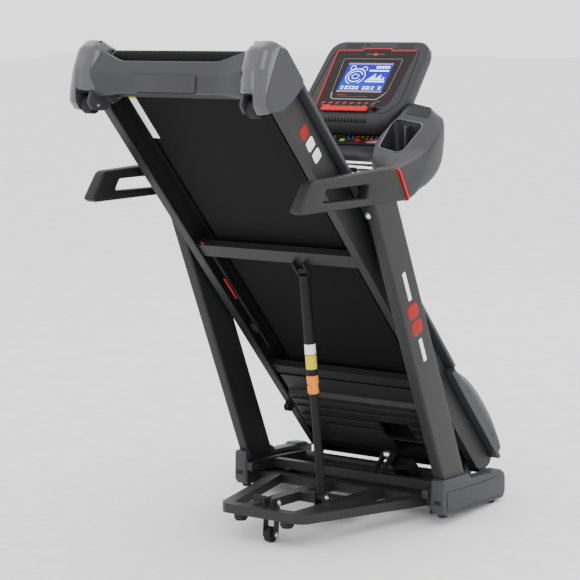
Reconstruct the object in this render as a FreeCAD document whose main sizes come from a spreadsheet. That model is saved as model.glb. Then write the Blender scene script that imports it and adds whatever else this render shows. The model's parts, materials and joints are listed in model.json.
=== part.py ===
import FreeCAD, Part
import math
import os
import re

from FreeCAD import Placement, Rotation, Vector

# Folding treadmill, deck folded up. +X is the walker's right, +Y the motor end, +Z up.
# The origin is under the middle of the machine, on the floor line of the lowered caster.

doc = FreeCAD.newDocument("treadmill")
sheet = doc.addObject("Spreadsheet::Sheet", "dims")

DIMENSIONS = {
    # where the base's rear upright edge and foot plane lie from the origin
    "datum_y": 210.2, "datum_z": 65,
    # uprights and shoes
    "upright_out": 412, "upright_thick": 40, "upright_deep": 117, "upright_lean": 23.5,
    "upright_long": 1165, "upright_foot_y": 47, "upright_foot_z": 12, "tube_wall": 2.5,
    "shoe_out": 424, "shoe_plate_in": 368, "shoe_plate_thick": 4,
    # base frame
    "tube_wide": 40, "tube_tall": 30, "tube_low": 20, "hoop_rear": 415, "hoop_half": 161,
    "diagonal_far_x": 345, "diagonal_far_y": 150, "caster_drop": 65, "caster_radius": 25,
    # deck, folded to this angle from upright
    "deck_fold": 41.64, "deck_y": 331, "deck_z": 83, "rail_out": 338.4, "rail_tall": 89,
    "rail_flange": 28, "rail_wall": 3, "rail_long": 1690, "step_out": 366, "step_in": 262,
    "step_high": 113, "hood_end": 419, "belt_half": 250, "belt_thick": 2,
    "roller_radius": 28, "roller_rise": 78, "rear_roller": 1752, "front_roller": 345,
    "cap_in": 264, "cap_out": 372, "rear_wheel_radius": 27, "beam_u": 1000, "beam_wide": 51,
    # incline frame
    "incline_y": 0, "incline_z": 74, "fold_y": 290, "fold_z": 66, "arm_in": 342, "arm_out": 366,
    # lift strut
    "strut_x": 85, "strut_low_y": -204, "strut_low_z": 62, "strut_high_y": -300,
    "strut_high_z": 795,
    # console, its face leaning back by this angle
    "face_lean": 39.3, "face_y": 108, "face_z": 1330.5,
    "screen_half": 91, "screen_tall": 124,
    "pulse_y": 36, "pulse_z": 1093, "pulse_radius": 16,
}
for row, (alias, value) in enumerate(DIMENSIONS.items(), start=1):
    sheet.set(f"A{row}", alias)
    sheet.set(f"B{row}", str(value))
    sheet.setAlias(f"B{row}", alias)
doc.recompute()


def size(alias):
    return float(getattr(sheet, alias))


def bound(text):
    """An expression whose bare dimension names point at the sheet."""
    return re.sub(r"[a-z][a-z_]+", lambda m: f"dims.{m[0]}" if m[0] in DIMENSIONS else m[0], str(text))


NODES = []
GROUND = Placement(Vector(0, size("datum_y"), size("datum_z")), Rotation())
DECK = GROUND * Placement(
    Vector(0, size("deck_y"), size("deck_z")), Rotation(Vector(1, 0, 0), size("deck_fold") - 90)
)
FACE = GROUND * Placement(
    Vector(0, size("face_y"), size("face_z")), Rotation(Vector(1, 0, 0), 90 - size("face_lean"))
)


def node(label, shape, frame):
    """Names a finished sub-part and puts it in its place on the machine."""
    if shape.TypeId in ("Part::Box", "Part::Cylinder"):
        shape = group(shape)
    shape.Label = label
    shape.Placement = frame
    NODES.append(shape)
    return shape


def add(kind, name):
    return doc.addObject(kind, name)


def place(feature, at, axis="z", angle=0):
    axes = {"x": Vector(1, 0, 0), "y": Vector(0, 1, 0), "z": Vector(0, 0, 1)}
    feature.Placement = Placement(Vector(0, 0, 0), Rotation(axes[axis], angle))
    for name, value in zip("xyz", at):
        feature.setExpression(f".Placement.Base.{name}", bound(value))
    return feature


def box(size_xyz, at, axis="z", angle=0):
    block = add("Part::Box", "block")
    for name, value in zip(("Length", "Width", "Height"), size_xyz):
        block.setExpression(name, bound(value))
    return place(block, at, axis, angle)


def span(x, y, z):
    """A box given by its two ends along each axis."""
    ends = (x, y, z)
    return box([f"({b}) - ({a})" for a, b in ends], [a for a, b in ends])


def rod(radius, length, at, along="x"):
    """A round bar from a point, running along +X, +Y or +Z."""
    bar = add("Part::Cylinder", "bar")
    bar.setExpression("Radius", bound(radius))
    bar.setExpression("Height", bound(length))
    turn = {"x": ("y", 90), "y": ("x", -90), "z": ("z", 0)}[along]
    return place(bar, at, *turn)


def cut(base, *tools):
    for tool in tools:
        result = add("Part::Cut", "cut")
        result.Base = base
        result.Tool = tool
        base = result
    return base


def common(first, *others):
    for other in others:
        result = add("Part::Common", "common")
        result.Base = first
        result.Tool = other
        first = result
    return first


def fuse(*pieces):
    result = add("Part::MultiFuse", "fuse")
    result.Shapes = list(pieces)
    return result


def group(*pieces):
    result = add("Part::Compound", "group")
    result.Links = list(pieces)
    return result


def mirror(piece):
    """The same piece on the machine's other side."""
    other = add("Part::Mirroring", "mirrored")
    other.Source = piece
    other.Normal = Vector(1, 0, 0)
    return other


def side_pair(*pieces):
    return group(*pieces, *[mirror(piece) for piece in pieces])


def rounded(points, radii):
    """Edges of a closed outline, each corner an arc of its own radius (0 leaves it sharp)."""
    starts, edges = [], []
    count = len(points)
    for i, radius in enumerate(radii):
        corner = Vector(*points[i], 0)
        back = (Vector(*points[i - 1], 0) - corner).normalize()
        ahead = (Vector(*points[(i + 1) % count], 0) - corner).normalize()
        if not radius:
            starts.append((corner, corner))
            continue
        half = back.getAngle(ahead) / 2
        reach = radius / math.tan(half)
        middle = corner + (back + ahead).normalize() * (radius / math.sin(half))
        ends = (corner + back * reach, corner + ahead * reach)
        edges.append(Part.Arc(ends[0], middle + (corner - middle).normalize() * radius, ends[1]))
        starts.append(ends)
    for i in range(count):
        leave, arrive = starts[i][1], starts[(i + 1) % count][0]
        if leave.distanceToPoint(arrive) > 0.01:
            edges.append(Part.LineSegment(leave, arrive))
    return edges


def prism(points, start, length, plane="YZ", radius=0):
    """A body padded from an outline. YZ runs along +X, XY along +Z, XZ along -Y."""
    body = add("PartDesign::Body", "body")
    sketch = body.newObject("Sketcher::SketchObject", "outline")
    flat = [f for f in body.Origin.OriginFeatures if f.Role == f"{plane}_Plane"][0]
    sketch.AttachmentSupport = [(flat, "")]
    sketch.MapMode = "FlatFace"
    radii = radius if isinstance(radius, list) else [radius] * len(points)
    sketch.addGeometry(rounded(points, radii), False)
    sketch.setExpression("AttachmentOffset.Base.z", bound(start))
    pad = body.newObject("PartDesign::Pad", "pad")
    pad.Profile = sketch
    pad.setExpression("Length", bound(length))
    sketch.Visibility = False
    return body


def shrink(points, by):
    """The outline moved inwards by a wall's thickness."""
    area = sum(p[0] * q[1] - q[0] * p[1] for p, q in zip(points, points[1:] + points[:1]))
    side = 1 if area > 0 else -1
    inner = []
    for i, (x, y) in enumerate(points):
        lines = []
        for p, q in ((points[i - 1], (x, y)), ((x, y), points[(i + 1) % len(points)])):
            run = math.hypot(q[0] - p[0], q[1] - p[1])
            normal = (-(q[1] - p[1]) / run * side, (q[0] - p[0]) / run * side)
            lines.append((normal, normal[0] * x + normal[1] * y + by))
        (a, d), (b, e) = lines
        det = a[0] * b[1] - a[1] * b[0]
        if abs(det) < 1e-6:
            inner.append((x + a[0] * by, y + a[1] * by))
        else:
            inner.append(((d * b[1] - e * a[1]) / det, (a[0] * e - b[0] * d) / det))
    return inner


def tube_x(x, y, z, wall="tube_wall"):
    """A hollow square bar along X, open at its ends."""
    inner = [(f"({a}) + ({wall})", f"({b}) - ({wall})") for a, b in (y, z)]
    return cut(span(x, y, z), span((f"({x[0]}) - 1", f"({x[1]}) + 1"), *inner))


# ---------------------------------------------------------------- base frame

tube_z = ("tube_low", "tube_low + tube_tall")
out_x, far_y = size("diagonal_far_x"), size("diagonal_far_y")
rear_y, half_x, wide = size("hoop_rear"), size("hoop_half"), size("tube_wide")
toe = math.atan2(out_x - half_x, far_y + rear_y)
run = Vector(math.sin(toe), math.cos(toe), 0)
across = Vector(math.cos(toe), -math.sin(toe), 0)
joint = Vector(half_x, -rear_y, 0) + run * 75
diagonal_long = (far_y - 12 - joint.y) / run.y


def hoop_outline(inset):
    """Plan of the rear tube: straight across the back, its ends bent forward to the diagonals."""
    outer, inner = joint - across * inset, joint - across * (wide - inset)
    back = [-rear_y + inset, -rear_y + wide - inset]
    corners = [outer - run * ((outer.y - back[0]) / run.y), inner - run * ((inner.y - back[1]) / run.y)]
    right = [(corners[0].x, back[0]), (outer.x, outer.y), (inner.x, inner.y), (corners[1].x, back[1])]
    return right + [(-x, y) for x, y in reversed(right)]


wall = size("tube_wall")
bends = [45, 0, 0, 12, 12, 0, 0, 45]
bends_in = [45 - wall, 0, 0, 12, 12, 0, 0, 45 - wall]
hoop = cut(
    prism(hoop_outline(0), "tube_low", "tube_tall", "XY", bends),
    prism(hoop_outline(wall), "tube_low + tube_wall", "tube_tall - 2 * tube_wall", "XY", bends_in),
)
node("rear_cross_tube", hoop, GROUND)


def diagonal(inset, ends):
    start = joint - across * (wide - inset) - run * ends
    corner = (start.x, start.y, f"tube_low + {inset}")
    sides = (f"tube_wide - {2 * inset}", diagonal_long + 2 * ends, f"tube_tall - {2 * inset}")
    return box(sides, corner, "z", -math.degrees(toe))


def tube_y(x, y):
    inner_x = (f"({x[0]}) + tube_wall", f"({x[1]}) - tube_wall")
    inner_z = ("tube_low + tube_wall", "tube_low + tube_tall - tube_wall")
    return cut(span(x, y, tube_z), span(inner_x, (f"({y[0]}) - 1", f"({y[1]}) + 1"), inner_z))


right_diagonal = cut(diagonal(0, 0), diagonal(wall, 1))
long_y = ("-hoop_rear + tube_wide", "50")
hoop_space = prism(hoop_outline(0), "tube_low - 1", "tube_tall + 2", "XY", bends)
left_long = tube_y((-95, -55), long_y)
right_long = cut(tube_y((103, 143), long_y), hoop_space)
node("floor_tubes", group(right_diagonal, mirror(right_diagonal), left_long, right_long), GROUND)

between_plates = ("-shoe_plate_in", "shoe_plate_in")
diagonal_space = [diagonal(0, 0.5), mirror(diagonal(0, 0.5))]
cross_tubes = group(
    tube_x((-55, 103), (-138, -98), tube_z),
    cut(tube_x(between_plates, (50, 90), tube_z), *diagonal_space),
    tube_x(between_plates, (150, 190), tube_z),
    tube_x(between_plates, (310, 350), tube_z),
)
node("cross_tubes", cross_tubes, GROUND)


plate_x = ("shoe_plate_in", "shoe_plate_in + shoe_plate_thick")
plate = span(plate_x, (-12, 352), (12, 98))
pin_hole = rod("8", "20", ("shoe_plate_in - 8", "incline_y", "incline_z"))
inner_plate = cut(plate, pin_hole)
floor_plate = span((40, 130), (190, 310), (41, 44))
node("base_plates", group(floor_plate, inner_plate, mirror(inner_plate)), GROUND)
pin_long = "shoe_plate_in + shoe_plate_thick - arm_in"
incline_pin = rod("8", pin_long, ("arm_in", "incline_y", "incline_z"))
pad = fuse(rod(22, 14, (91.5, -395, 6), "z"), rod(18, 6, (91.5, -395, 0), "z"))
front_pads = [rod(15, 12, (396, y, 0), "z") for y in (20, 300)]
node("rubber_pads", side_pair(pad, *front_pads), GROUND)

# ---------------------------------------------------------------- caster lever

pivot_y, pivot_z, axle_y = -352, 62, -360
axle_z = size("caster_radius") - size("caster_drop")
bracket = span((14, 18), ("-hoop_rear + tube_wide", -338), ("tube_low", 76))
bracket_hole = rod(5, 60, (-30, pivot_y, pivot_z))
caster_cheeks = side_pair(cut(bracket, bracket_hole))


def cheek(x):
    """One side plate of the fork, round at the pivot and at the axle."""
    web = [
        (pivot_y - 12, pivot_z), (axle_y - 12, axle_z), (axle_y + 12, axle_z), (pivot_y + 12, pivot_z),
    ]
    ends = [rod(12, 3, (x, y, z)) for y, z in ((pivot_y, pivot_z), (axle_y, axle_z))]
    return fuse(prism(web, x, 3), *ends)


pedal = span((-76, -22.5), (pivot_y - 3, pivot_y + 3), (pivot_z - 7, pivot_z + 15))
fork = fuse(cheek(-22.5), cheek(19.5), pedal, rod(5, 45, (-22.5, axle_y, axle_z)))
bolt = rod(4.9, 45, (-22.5, pivot_y, pivot_z))
node("caster_fork", fuse(fork, bolt, rod(8, 5, (22.5, pivot_y, pivot_z))), GROUND)
tread = cut(rod("caster_radius", 24, (-12, axle_y, axle_z)), rod(5.05, 40, (-20, axle_y, axle_z)))
node("caster_wheel", tread, GROUND)

# ---------------------------------------------------------------- uprights and shoes

lean = size("upright_lean")


def upright_box(grow, ends):
    at = ("upright_out - upright_thick", "upright_foot_y", "upright_foot_z")
    sides = (f"upright_thick + {2 * grow}", f"upright_deep + {2 * grow}", f"upright_long + {2 * ends}")
    outer = box(sides, at, "x", lean)
    outer.setExpression(".Placement.Base.x", bound(f"{at[0]} - {grow}"))
    shift_y = -grow * math.cos(math.radians(lean)) + ends * math.sin(math.radians(lean))
    shift_z = -grow * math.sin(math.radians(lean)) - ends * math.cos(math.radians(lean))
    outer.setExpression(".Placement.Base.y", bound(f"{at[1]} + {shift_y}"))
    outer.setExpression(".Placement.Base.z", bound(f"{at[2]} + {shift_z}"))
    return outer


def upright():
    return cut(upright_box(0, 0), upright_box(-wall, 1))


node("right_upright", upright(), GROUND)
node("left_upright", mirror(upright()), GROUND)

shoe_side = [
    (-2, 10), (-16, 28), (-14, 119), (-6, 125), (133, 125), (152, 107), (262, 104), (276, 111),
    (330, 107), (350, 95), (358, 78), (358, 30), (345, 10),
]
shoe_bends = [6, 8, 6, 4, 5, 8, 8, 6, 12, 12, 16, 14, 8]


def shoe():
    skin = 3
    plate_face = "shoe_plate_in + shoe_plate_thick + 0.5"
    thick = f"shoe_out - ({plate_face})"
    outer = prism(shoe_side, plate_face, thick, "YZ", shoe_bends)
    cavity_bends = [max(r - skin, 0) for r in shoe_bends]
    cavity_side = shrink(shoe_side, skin)
    cavity = prism(cavity_side, f"{plate_face} - 1", f"{thick} - {skin - 1}", "YZ", cavity_bends)
    shell = cut(outer, cavity, upright_box(0.6, 20))
    feet = [rod(15.4, 20, (396, y, 0), "z") for y in (20, 300)]
    return cut(shell, *feet)


node("right_shoe", shoe(), GROUND)
node("left_shoe", mirror(shoe()), GROUND)

# ---------------------------------------------------------------- incline frame

fold = (size("fold_y"), size("fold_z"))
hinge = (size("incline_y"), size("incline_z"))


def incline_arm():
    side = [
        (hinge[0] - 20, 58), (hinge[0] - 20, 90), (120, 92), (fold[0] + 20, 84), (fold[0] + 20, 50),
        (240, 56),
    ]
    arm = prism(side, "arm_in", "arm_out - arm_in", "YZ", [12, 12, 20, 12, 12, 20])
    holes = [rod(8.05, 60, ("arm_in - 5", *hinge)), rod(9.05, 60, ("arm_in - 5", *fold))]
    return cut(arm, *holes)


lift_eye = (180, 136)
lug_side = [(184, 152), (166, 150), (154, 132), (100, 88), (126, 88), (176, 120), (196, 132), (196, 146)]
lug_bends = [8, 8, 10, 0, 0, 20, 8, 8]


def lift_lug(x):
    return cut(prism(lug_side, x, 5, "YZ", lug_bends), rod(9, 20, (x - 5, *lift_eye)))


lift_tube = tube_x(("-arm_in", "arm_in"), (100, 126), (58, 88))
arms = [incline_arm(), mirror(incline_arm())]
node("incline_frame", group(*arms, lift_tube, lift_lug(60), lift_lug(91)), GROUND)
fold_tube = cut(
    rod(18, "2 * arm_in", ("-arm_in", "fold_y", "fold_z")),
    rod(14, "2 * arm_in + 4", ("-arm_in - 2", "fold_y", "fold_z")),
)
fold_pin = rod(9, "arm_out - arm_in + 30", ("arm_in - 30", "fold_y", "fold_z"))
fold_plug = fuse(rod(14, 30, ("arm_in - 30", "fold_y", "fold_z")), fold_pin)
node("fold_tube", fuse(fold_tube, fold_plug, mirror(fold_plug)), GROUND)

# the screw jack between the floor plate and the lift lugs
jack_foot = Vector(78, 250, 66)
jack_run = Vector(0, lift_eye[0] - jack_foot.y, lift_eye[1] - jack_foot.z)
jack_tilt = math.degrees(math.atan2(-jack_run.y, jack_run.z))
jack_long = jack_run.Length
SCREW = GROUND * Placement(jack_foot, Rotation(Vector(1, 0, 0), jack_tilt))
jack_ears = [span((x, x + 4), (240, 260), (44, 74)) for x in (60, 92)]
jack_pin = rod(4, 36, (60, jack_foot.y, jack_foot.z))
jack_bracket = cut(group(*jack_ears), rod(4, 60, (50, jack_foot.y, jack_foot.z)))
jack_body = cut(
    fuse(
        rod(12, 22, (-11, 0, 0)),
        rod(14, 62, (0, 0, 14), "z"),
        span((8, 70), (-22, 22), (16, 56)),
        span((-11, 11), (-10, 10), (4, 16)),
    ),
    rod(4.05, 40, (-20, 0, 0)),
    rod(11, 60, (0, 0, 17), "z"),
)
node("incline_motor", jack_body, SCREW)
screw_eye = cut(rod(16, 22, (-11, 0, jack_long)), rod(9, 40, (-20, 0, jack_long)))
screw_rod = rod(10.9, jack_long - 32, (0, 0, 18), "z")
node("incline_screw", fuse(screw_rod, screw_eye), SCREW)

# ---------------------------------------------------------------- deck, in its own frame:
# X across, Y towards the motor, Z out of the walking surface; U counts back from the motor end.


def rail():
    """A pressed channel, its web outside, with the front lower corner rounded."""
    tall, far = size("rail_tall"), -size("rail_long")
    side = [(0, 0), (0, tall), (far, tall), (far, 0)]
    blank = prism(side, "rail_out - rail_flange", "rail_flange", "YZ", [34, 0, 0, 0])
    space = span(
        ("rail_out - rail_flange - 1", "rail_out - rail_wall"),
        ("-rail_long - 1", "-rail_wall"),
        ("rail_wall", "rail_tall - rail_wall"),
    )
    return cut(blank, space)


fold_local = DECK.inverse().multVec(GROUND.multVec(Vector(0, *fold)))
node("side_rails", side_pair(rail()), DECK)

motor_u, motor_w, motor_pulley = 165, 100, 25
beam_x = ("-rail_out + rail_wall", "rail_out - rail_wall")
beam_y = ("-beam_u - beam_wide / 2", "-beam_u + beam_wide / 2")
beams = group(
    tube_x(beam_x, beam_y, (8, 33)),
    tube_x(beam_x, (-445, -405), (8, 33)),
    tube_x(beam_x, (-1689, -1661), (18, 44)),
    tube_x(beam_x, (-40, -8), (20, 50)),
    span((-125, 35), (-motor_u - 55, -motor_u + 55), (36, 42)),
)
node("deck_beams", beams, DECK)
lug_eye = 24
fold_lug_side = [
    (fold_local.y - lug_eye, fold_local.z), (-40, 20), (-8, 20), (-4, 0),
    (fold_local.y + lug_eye, fold_local.z),
]


def fold_lug():
    plate = prism(fold_lug_side, 296, 12)
    eye = rod(lug_eye, 12, (296, fold_local.y, fold_local.z))
    return cut(fuse(plate, eye), rod(18.08, 40, (280, fold_local.y, fold_local.z)))


lock_side = [(-258, 0), (-228, 0), (-228, -24), (-258, -24)]
lock_plates = [prism(lock_side, x, 6, "YZ", [0, 0, 14, 14]) for x in (318, 330)]
lock_ears = cut(group(*lock_plates), rod(5, 60, (300, -243, -10)))


step_outline = [
    (262, 107.5), (262, 113), (366, 113), (366, 101), (362, 99), (337, 99), (337, 89), (336.2, 89),
    (336.2, 107.5),
]
step_long = "rear_roller - hood_end - 92"
step_bends = [0, 2, 3, 2, 1, 0, 0, 0, 0]
node("foot_rails", side_pair(prism(step_outline, "hood_end", step_long, "XZ", step_bends)), DECK)
cushions = [span((312, 334), (-u - 40, -u), (89, 93)) for u in (480, 760, 1100, 1500)]
node("deck_cushions", side_pair(*cushions), DECK)
node("deck_board", span((-335, 335), (-1640, -425), (93, 105.6)), DECK)

# rollers, belt and drive
rise, reach = size("roller_rise"), size("roller_radius")


def roller_space(u, grow):
    return rod(reach + grow, "2 * belt_half + 4", ("-belt_half - 2", -u, "roller_rise"))


def loop(x0, x1, circles, grow):
    """The solid inside a belt run round two wheels, both given as (u, w, radius)."""
    (u1, w1, r1), (u2, w2, r2) = circles
    gap = math.hypot(u2 - u1, w2 - w1)
    base = math.atan2(w2 - w1, u1 - u2)
    swing = math.acos((r1 - r2) / gap)
    points = []
    first, last = (u1, w1, r1), (u2, w2, r2)
    for (u, w, r), side in ((first, 1), (last, 1), (last, -1), (first, -1)):
        angle = base + side * swing
        points.append((-u + (r + grow) * math.cos(angle), w + (r + grow) * math.sin(angle)))
    web = prism(points, x0, x1 - x0)
    return fuse(web, *[rod(r + grow, x1 - x0, (x0, -u, w)) for u, w, r in circles])


belt_circles = [(size("front_roller"), rise, reach + 0.3), (size("rear_roller"), rise, reach + 0.3)]
belt_half = size("belt_half")
belt = cut(
    loop(-belt_half, belt_half, belt_circles, size("belt_thick")),
    loop(-belt_half - 1, belt_half + 1, belt_circles, 0),
)
node("running_belt", belt, DECK)


def roller(u, pulley):
    drum = rod(reach, 520, (-260, f"-{u}", "roller_rise"))
    if pulley:
        drum = fuse(drum, rod(38, 24, (-286, f"-{u}", "roller_rise")))
    return cut(drum, rod(8.05, 640, (-320, f"-{u}", "roller_rise")))


node("front_roller", roller("front_roller", True), DECK)
node("rear_roller", roller("rear_roller", False), DECK)
axle_start = ("-rail_out + rail_wall", "-front_roller", "roller_rise")
front_axle = rod(8, "2 * (rail_out - rail_wall)", axle_start)
rear_axle = rod(8, 526, (-263, "-rear_roller", "roller_rise"))

motor_can = cut(rod(52, 150, (-120, -motor_u, motor_w)), rod(8.2, 170, (-130, -motor_u, motor_w)))
motor_feet = span((-110, 20), (-motor_u - 45, -motor_u + 45), (42, 52))
node("drive_motor", fuse(motor_can, motor_feet), DECK)
flywheel = fuse(
    rod(8, 270, (-292, -motor_u, motor_w)),
    rod(44, 24, (-168, -motor_u, motor_w)),
    rod(motor_pulley, 24, (-286, -motor_u, motor_w)),
)
node("motor_shaft", flywheel, DECK)
ribbed_circles = [(motor_u, motor_w, motor_pulley + 0.3), (size("front_roller"), rise, 38.3)]
ribbed = cut(loop(-284, -264, ribbed_circles, 3), loop(-285, -263, ribbed_circles, 0))
node("drive_belt", ribbed, DECK)
fins = [span((90 + 12 * i, 93 + 12 * i), (-230, -110), (62, 92)) for i in range(12)]
node("motor_controller", fuse(span((88, 227), (-232, -108), (52, 62)), *fins), DECK)
pan_side = [
    (-402, 4), (-330, 4), (-318, -8), (-153, -10), (-120, 4), (-60, 4), (-60, 6.5), (-121, 6.5),
    (-154, -7.5), (-317, -5.5), (-329, 6.5), (-402, 6.5),
]
jack_window = span((40, 160), (-226, -44), (-30, 30))
node("belly_pan", cut(prism(pan_side, -290, 580), jack_window), DECK)

# motor hood: a crowned shell that meets the foot rails
hood_side = [
    (-419, 90), (-419, 114), (-385, 124), (-318, 172), (-200, 192), (-70, 190), (0, 160), (22, 100),
    (10, 90),
]
hood_side_bends = [0, 3, 60, 90, 120, 90, 45, 10, 4]
hood_front = [(-370, 80), (-370, 128), (-322, 192), (322, 192), (370, 128), (370, 80)]
hood_front_bends = [0, 60, 40, 40, 60, 0]


def hood_block(inset, floor):
    side = shrink(hood_side, inset) if inset else hood_side
    front = shrink(hood_front, inset) if inset else hood_front
    if inset:
        side[0] = (side[0][0], floor)
        side[-1] = (side[-1][0], floor)
    bends = [max(r - inset, 0) for r in hood_side_bends]
    front_bends = [max(r - inset, 0) for r in hood_front_bends]
    width = 2 * (370 - inset)
    return common(
        prism(side, -width / 2, width, "YZ", bends),
        prism(front, -40, 480, "XZ", front_bends),
    )


hood = cut(hood_block(0, 0), hood_block(3, 80), span((-262, 262), (-425, -380), (80, 116)))
node("motor_hood", hood, DECK)
front_side = [(0, 2), (0, 86), (14, 86), (22, 60), (12, 20)]
front_space = [(-1, 5), (-1, 83), (11, 83), (18, 60), (9, 22)]
front_cover = cut(
    prism(front_side, "-rail_out", "2 * rail_out", "YZ", [0, 0, 6, 20, 14]),
    prism(front_space, "-rail_out + 3", "2 * rail_out - 6", "YZ", [0, 0, 5, 18, 12]),
    span((-290, -240), (-1, 40), (40, 66)),
    span((-220, -196), (-1, 40), (40, 66)),
)
node("front_cover", front_cover, DECK)
inlet = cut(span((-289, -241), (3, 20), (41, 65)), span((-280, -250), (8, 30), (45, 61)))
node("power_inlet", inlet, DECK)
rocker = fuse(span((-218, -198), (10, 24), (42, 64)), rod(2, 23, (-219.5, 17, 53)))
node("power_switch", rocker, DECK)

# rear end caps, cover and wheels
cap_side = [
    (-1655, -17), (-1690, -74), (-1722, -70), (-1752, -52), (-1800, 0), (-1826, 55), (-1816, 100),
    (-1776, 121), (-1652, 121), (-1640, 96), (-1640, 40),
]
cap_bends = [20, 14, 10, 20, 60, 40, 20, 20, 3, 3, 60]
wheel_u, wheel_w = 1690, -50


def end_cap():
    skin = 3.5
    outer = prism(cap_side, "cap_in", "cap_out - cap_in", "YZ", cap_bends)
    cavity_bends = [max(r - skin, 0) for r in cap_bends]
    cavity_side, cavity_wide = shrink(cap_side, skin), f"cap_out - cap_in - {2 * skin}"
    cavity = prism(cavity_side, f"cap_in + {skin}", cavity_wide, "YZ", cavity_bends)
    rail_wide = ("rail_out - rail_flange - 3", "rail_out + 0.4")
    rail_space = span(rail_wide, (-1695, -1600), (-1, "rail_tall + 1"))
    step_space = span((255, 367), (-1665, -1600), (86, 115))
    board_space = span((255, 337), (-1645, -1600), (80, 110))
    wheel_space = span((294, 336), (-wheel_u - 31, -wheel_u + 60), (-90, -14))
    beam_space = span(("cap_in - 5", "cap_in + 6"), (-1690, -1660), (17, 45))
    window = span(("cap_in - 5", "cap_in + 6"), (-1790, -1700), (38, 104))
    spaces = (rail_space, step_space, board_space, beam_space, wheel_space)
    return cut(outer, cavity, window, *spaces)


node("right_end_cap", end_cap(), DECK)
node("left_end_cap", mirror(end_cap()), DECK)
cover_side = [
    (-1716, -18), (-1742, -22), (-1796, 26), (-1792, 36), (-1786, 34), (-1738, -14), (-1718, -11),
]
cover = prism(cover_side, "-cap_in", "2 * cap_in", "YZ", [2, 10, 6, 1, 3, 8, 1])
grip_side = [(-1748, -28), (-1786, 6), (-1796, 26), (-1742, -22)]
grip = prism(grip_side, -110, 220, "YZ", [3, 3, 0, 0])
node("rear_cover", fuse(cover, grip), DECK)


def rear_wheel():
    hole = rod(5.05, 60, (290, -wheel_u, wheel_w))
    return cut(rod("rear_wheel_radius", 36, (297, -wheel_u, wheel_w)), hole)


node("right_rear_wheel", rear_wheel(), DECK)
node("left_rear_wheel", mirror(rear_wheel()), DECK)
wheel_axle = rod(5, 48, (289, -wheel_u, wheel_w))
node("deck_axles", group(front_axle, rear_axle, wheel_axle, mirror(wheel_axle)), DECK)

# ---------------------------------------------------------------- lift strut

strut_low = Vector(0, size("strut_low_y"), size("strut_low_z"))
strut_high = Vector(0, size("strut_high_y"), size("strut_high_z"))
strut_run = strut_high - strut_low
strut_tilt = math.degrees(math.atan2(-strut_run.y, strut_run.z))
strut_long = strut_run.Length
STRUT = GROUND * Placement(
    Vector(size("strut_x"), strut_low.y, strut_low.z), Rotation(Vector(1, 0, 0), strut_tilt)
)
tube_joint = 386
lower_tube = cut(rod(13, tube_joint - 14, (0, 0, 14), "z"), rod(10.2, tube_joint, (0, 0, 30), "z"))
lower_eye = cut(rod(14, 24, (-12, 0, 0)), rod(6.05, 40, (-20, 0, 0)))
node("strut_lower", fuse(lower_tube, lower_eye), STRUT)
collar = cut(rod(17, 42, (0, 0, tube_joint - 42), "z"), rod(13.4, 60, (0, 0, tube_joint - 50), "z"))
upper_start = tube_joint + 0.5
node("strut_collar", collar, STRUT)
upper_tube = cut(
    rod(17.5, strut_long - 14 - upper_start, (0, 0, upper_start), "z"),
    rod(14, strut_long - 40 - upper_start, (0, 0, upper_start - 1), "z"),
)
upper_eye = cut(rod(13, 30, (-15, 0, strut_long)), rod(6, 40, (-20, 0, strut_long)))
piston_rod = rod(10, strut_long - 35 - 335, (0, 0, 335), "z")
node("strut_upper", fuse(upper_tube, upper_eye, piston_rod), STRUT)

foot_ears = [span((x, x + 4), (-222, -186), (40, 76)) for x in (67, 99)]
foot_plate = span((67, 103), (-222, -186), (36, 40))
strut_bracket = cut(group(*foot_ears), rod(6, 60, (60, strut_low.y, strut_low.z)))
node("base_brackets", group(caster_cheeks, jack_bracket, strut_bracket, foot_plate), GROUND)
strut_pin = rod(6, 44, (63, strut_low.y, strut_low.z))
node("pivot_pins", group(incline_pin, mirror(incline_pin), jack_pin, strut_pin), GROUND)
local_high = DECK.inverse().multVec(GROUND.multVec(strut_high))
ear_y = (local_high.y - 40, local_high.y + 14)
top_ears = [span((x, x + 4), ear_y, (local_high.z - 12, 8)) for x in (62, 104)]
lug = fold_lug()
node("deck_lugs", group(lug, mirror(lug), lock_ears, mirror(lock_ears), *top_ears), DECK)

# ---------------------------------------------------------------- handrails and console

rail_side = [(-762, 1022), (-702, 1106), (-296, 1124), (-228, 1116), (-212, 1024), (-740, 1012)]
rail_bends = [16, 30, 40, 14, 10, 16]
grip_gap = [(-655, 1042), (-632, 1078), (-418, 1082), (-430, 1042)]


def handrail():
    outer = prism(rail_side, 374, 42, "YZ", rail_bends)
    gap = prism(grip_gap, 350, 80, "YZ", [8, 12, 8, 6])
    return cut(outer, gap, upright_box(0.5, 1))


node("right_handrail", handrail(), GROUND)
node("left_handrail", mirror(handrail()), GROUND)
ring_side = [(-227, 1118), (-211, 1022), (-205, 1024), (-221, 1119)]
ring = prism(ring_side, 371, 48, "YZ")
node("trim_rings", side_pair(ring), GROUND)

arm_side = [
    (-220, 1119), (-205, 1024), (-110, 1062), (0, 1114), (36, 1165), (52, 1222), (40, 1262),
    (20, 1252), (-105, 1170),
]
arm_bends = [0, 0, 60, 40, 60, 30, 8, 10, 40]
arm_plan = [(340, -300), (426, -300), (424, -120), (400, 30), (340, 90)]


def arm_block(inset):
    side = shrink(arm_side, inset) if inset else arm_side
    plan = shrink(arm_plan, inset) if inset else arm_plan
    bends = [max(r - inset, 0) for r in arm_bends]
    return common(
        prism(side, 330, 110, "YZ", bends),
        prism(plan, 1000, 320, "XY", [0, 0, 90, 40, 0]),
    )


def console_arm():
    return cut(arm_block(0), arm_block(3.5))


node("console_arms", side_pair(console_arm()), GROUND)

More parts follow.
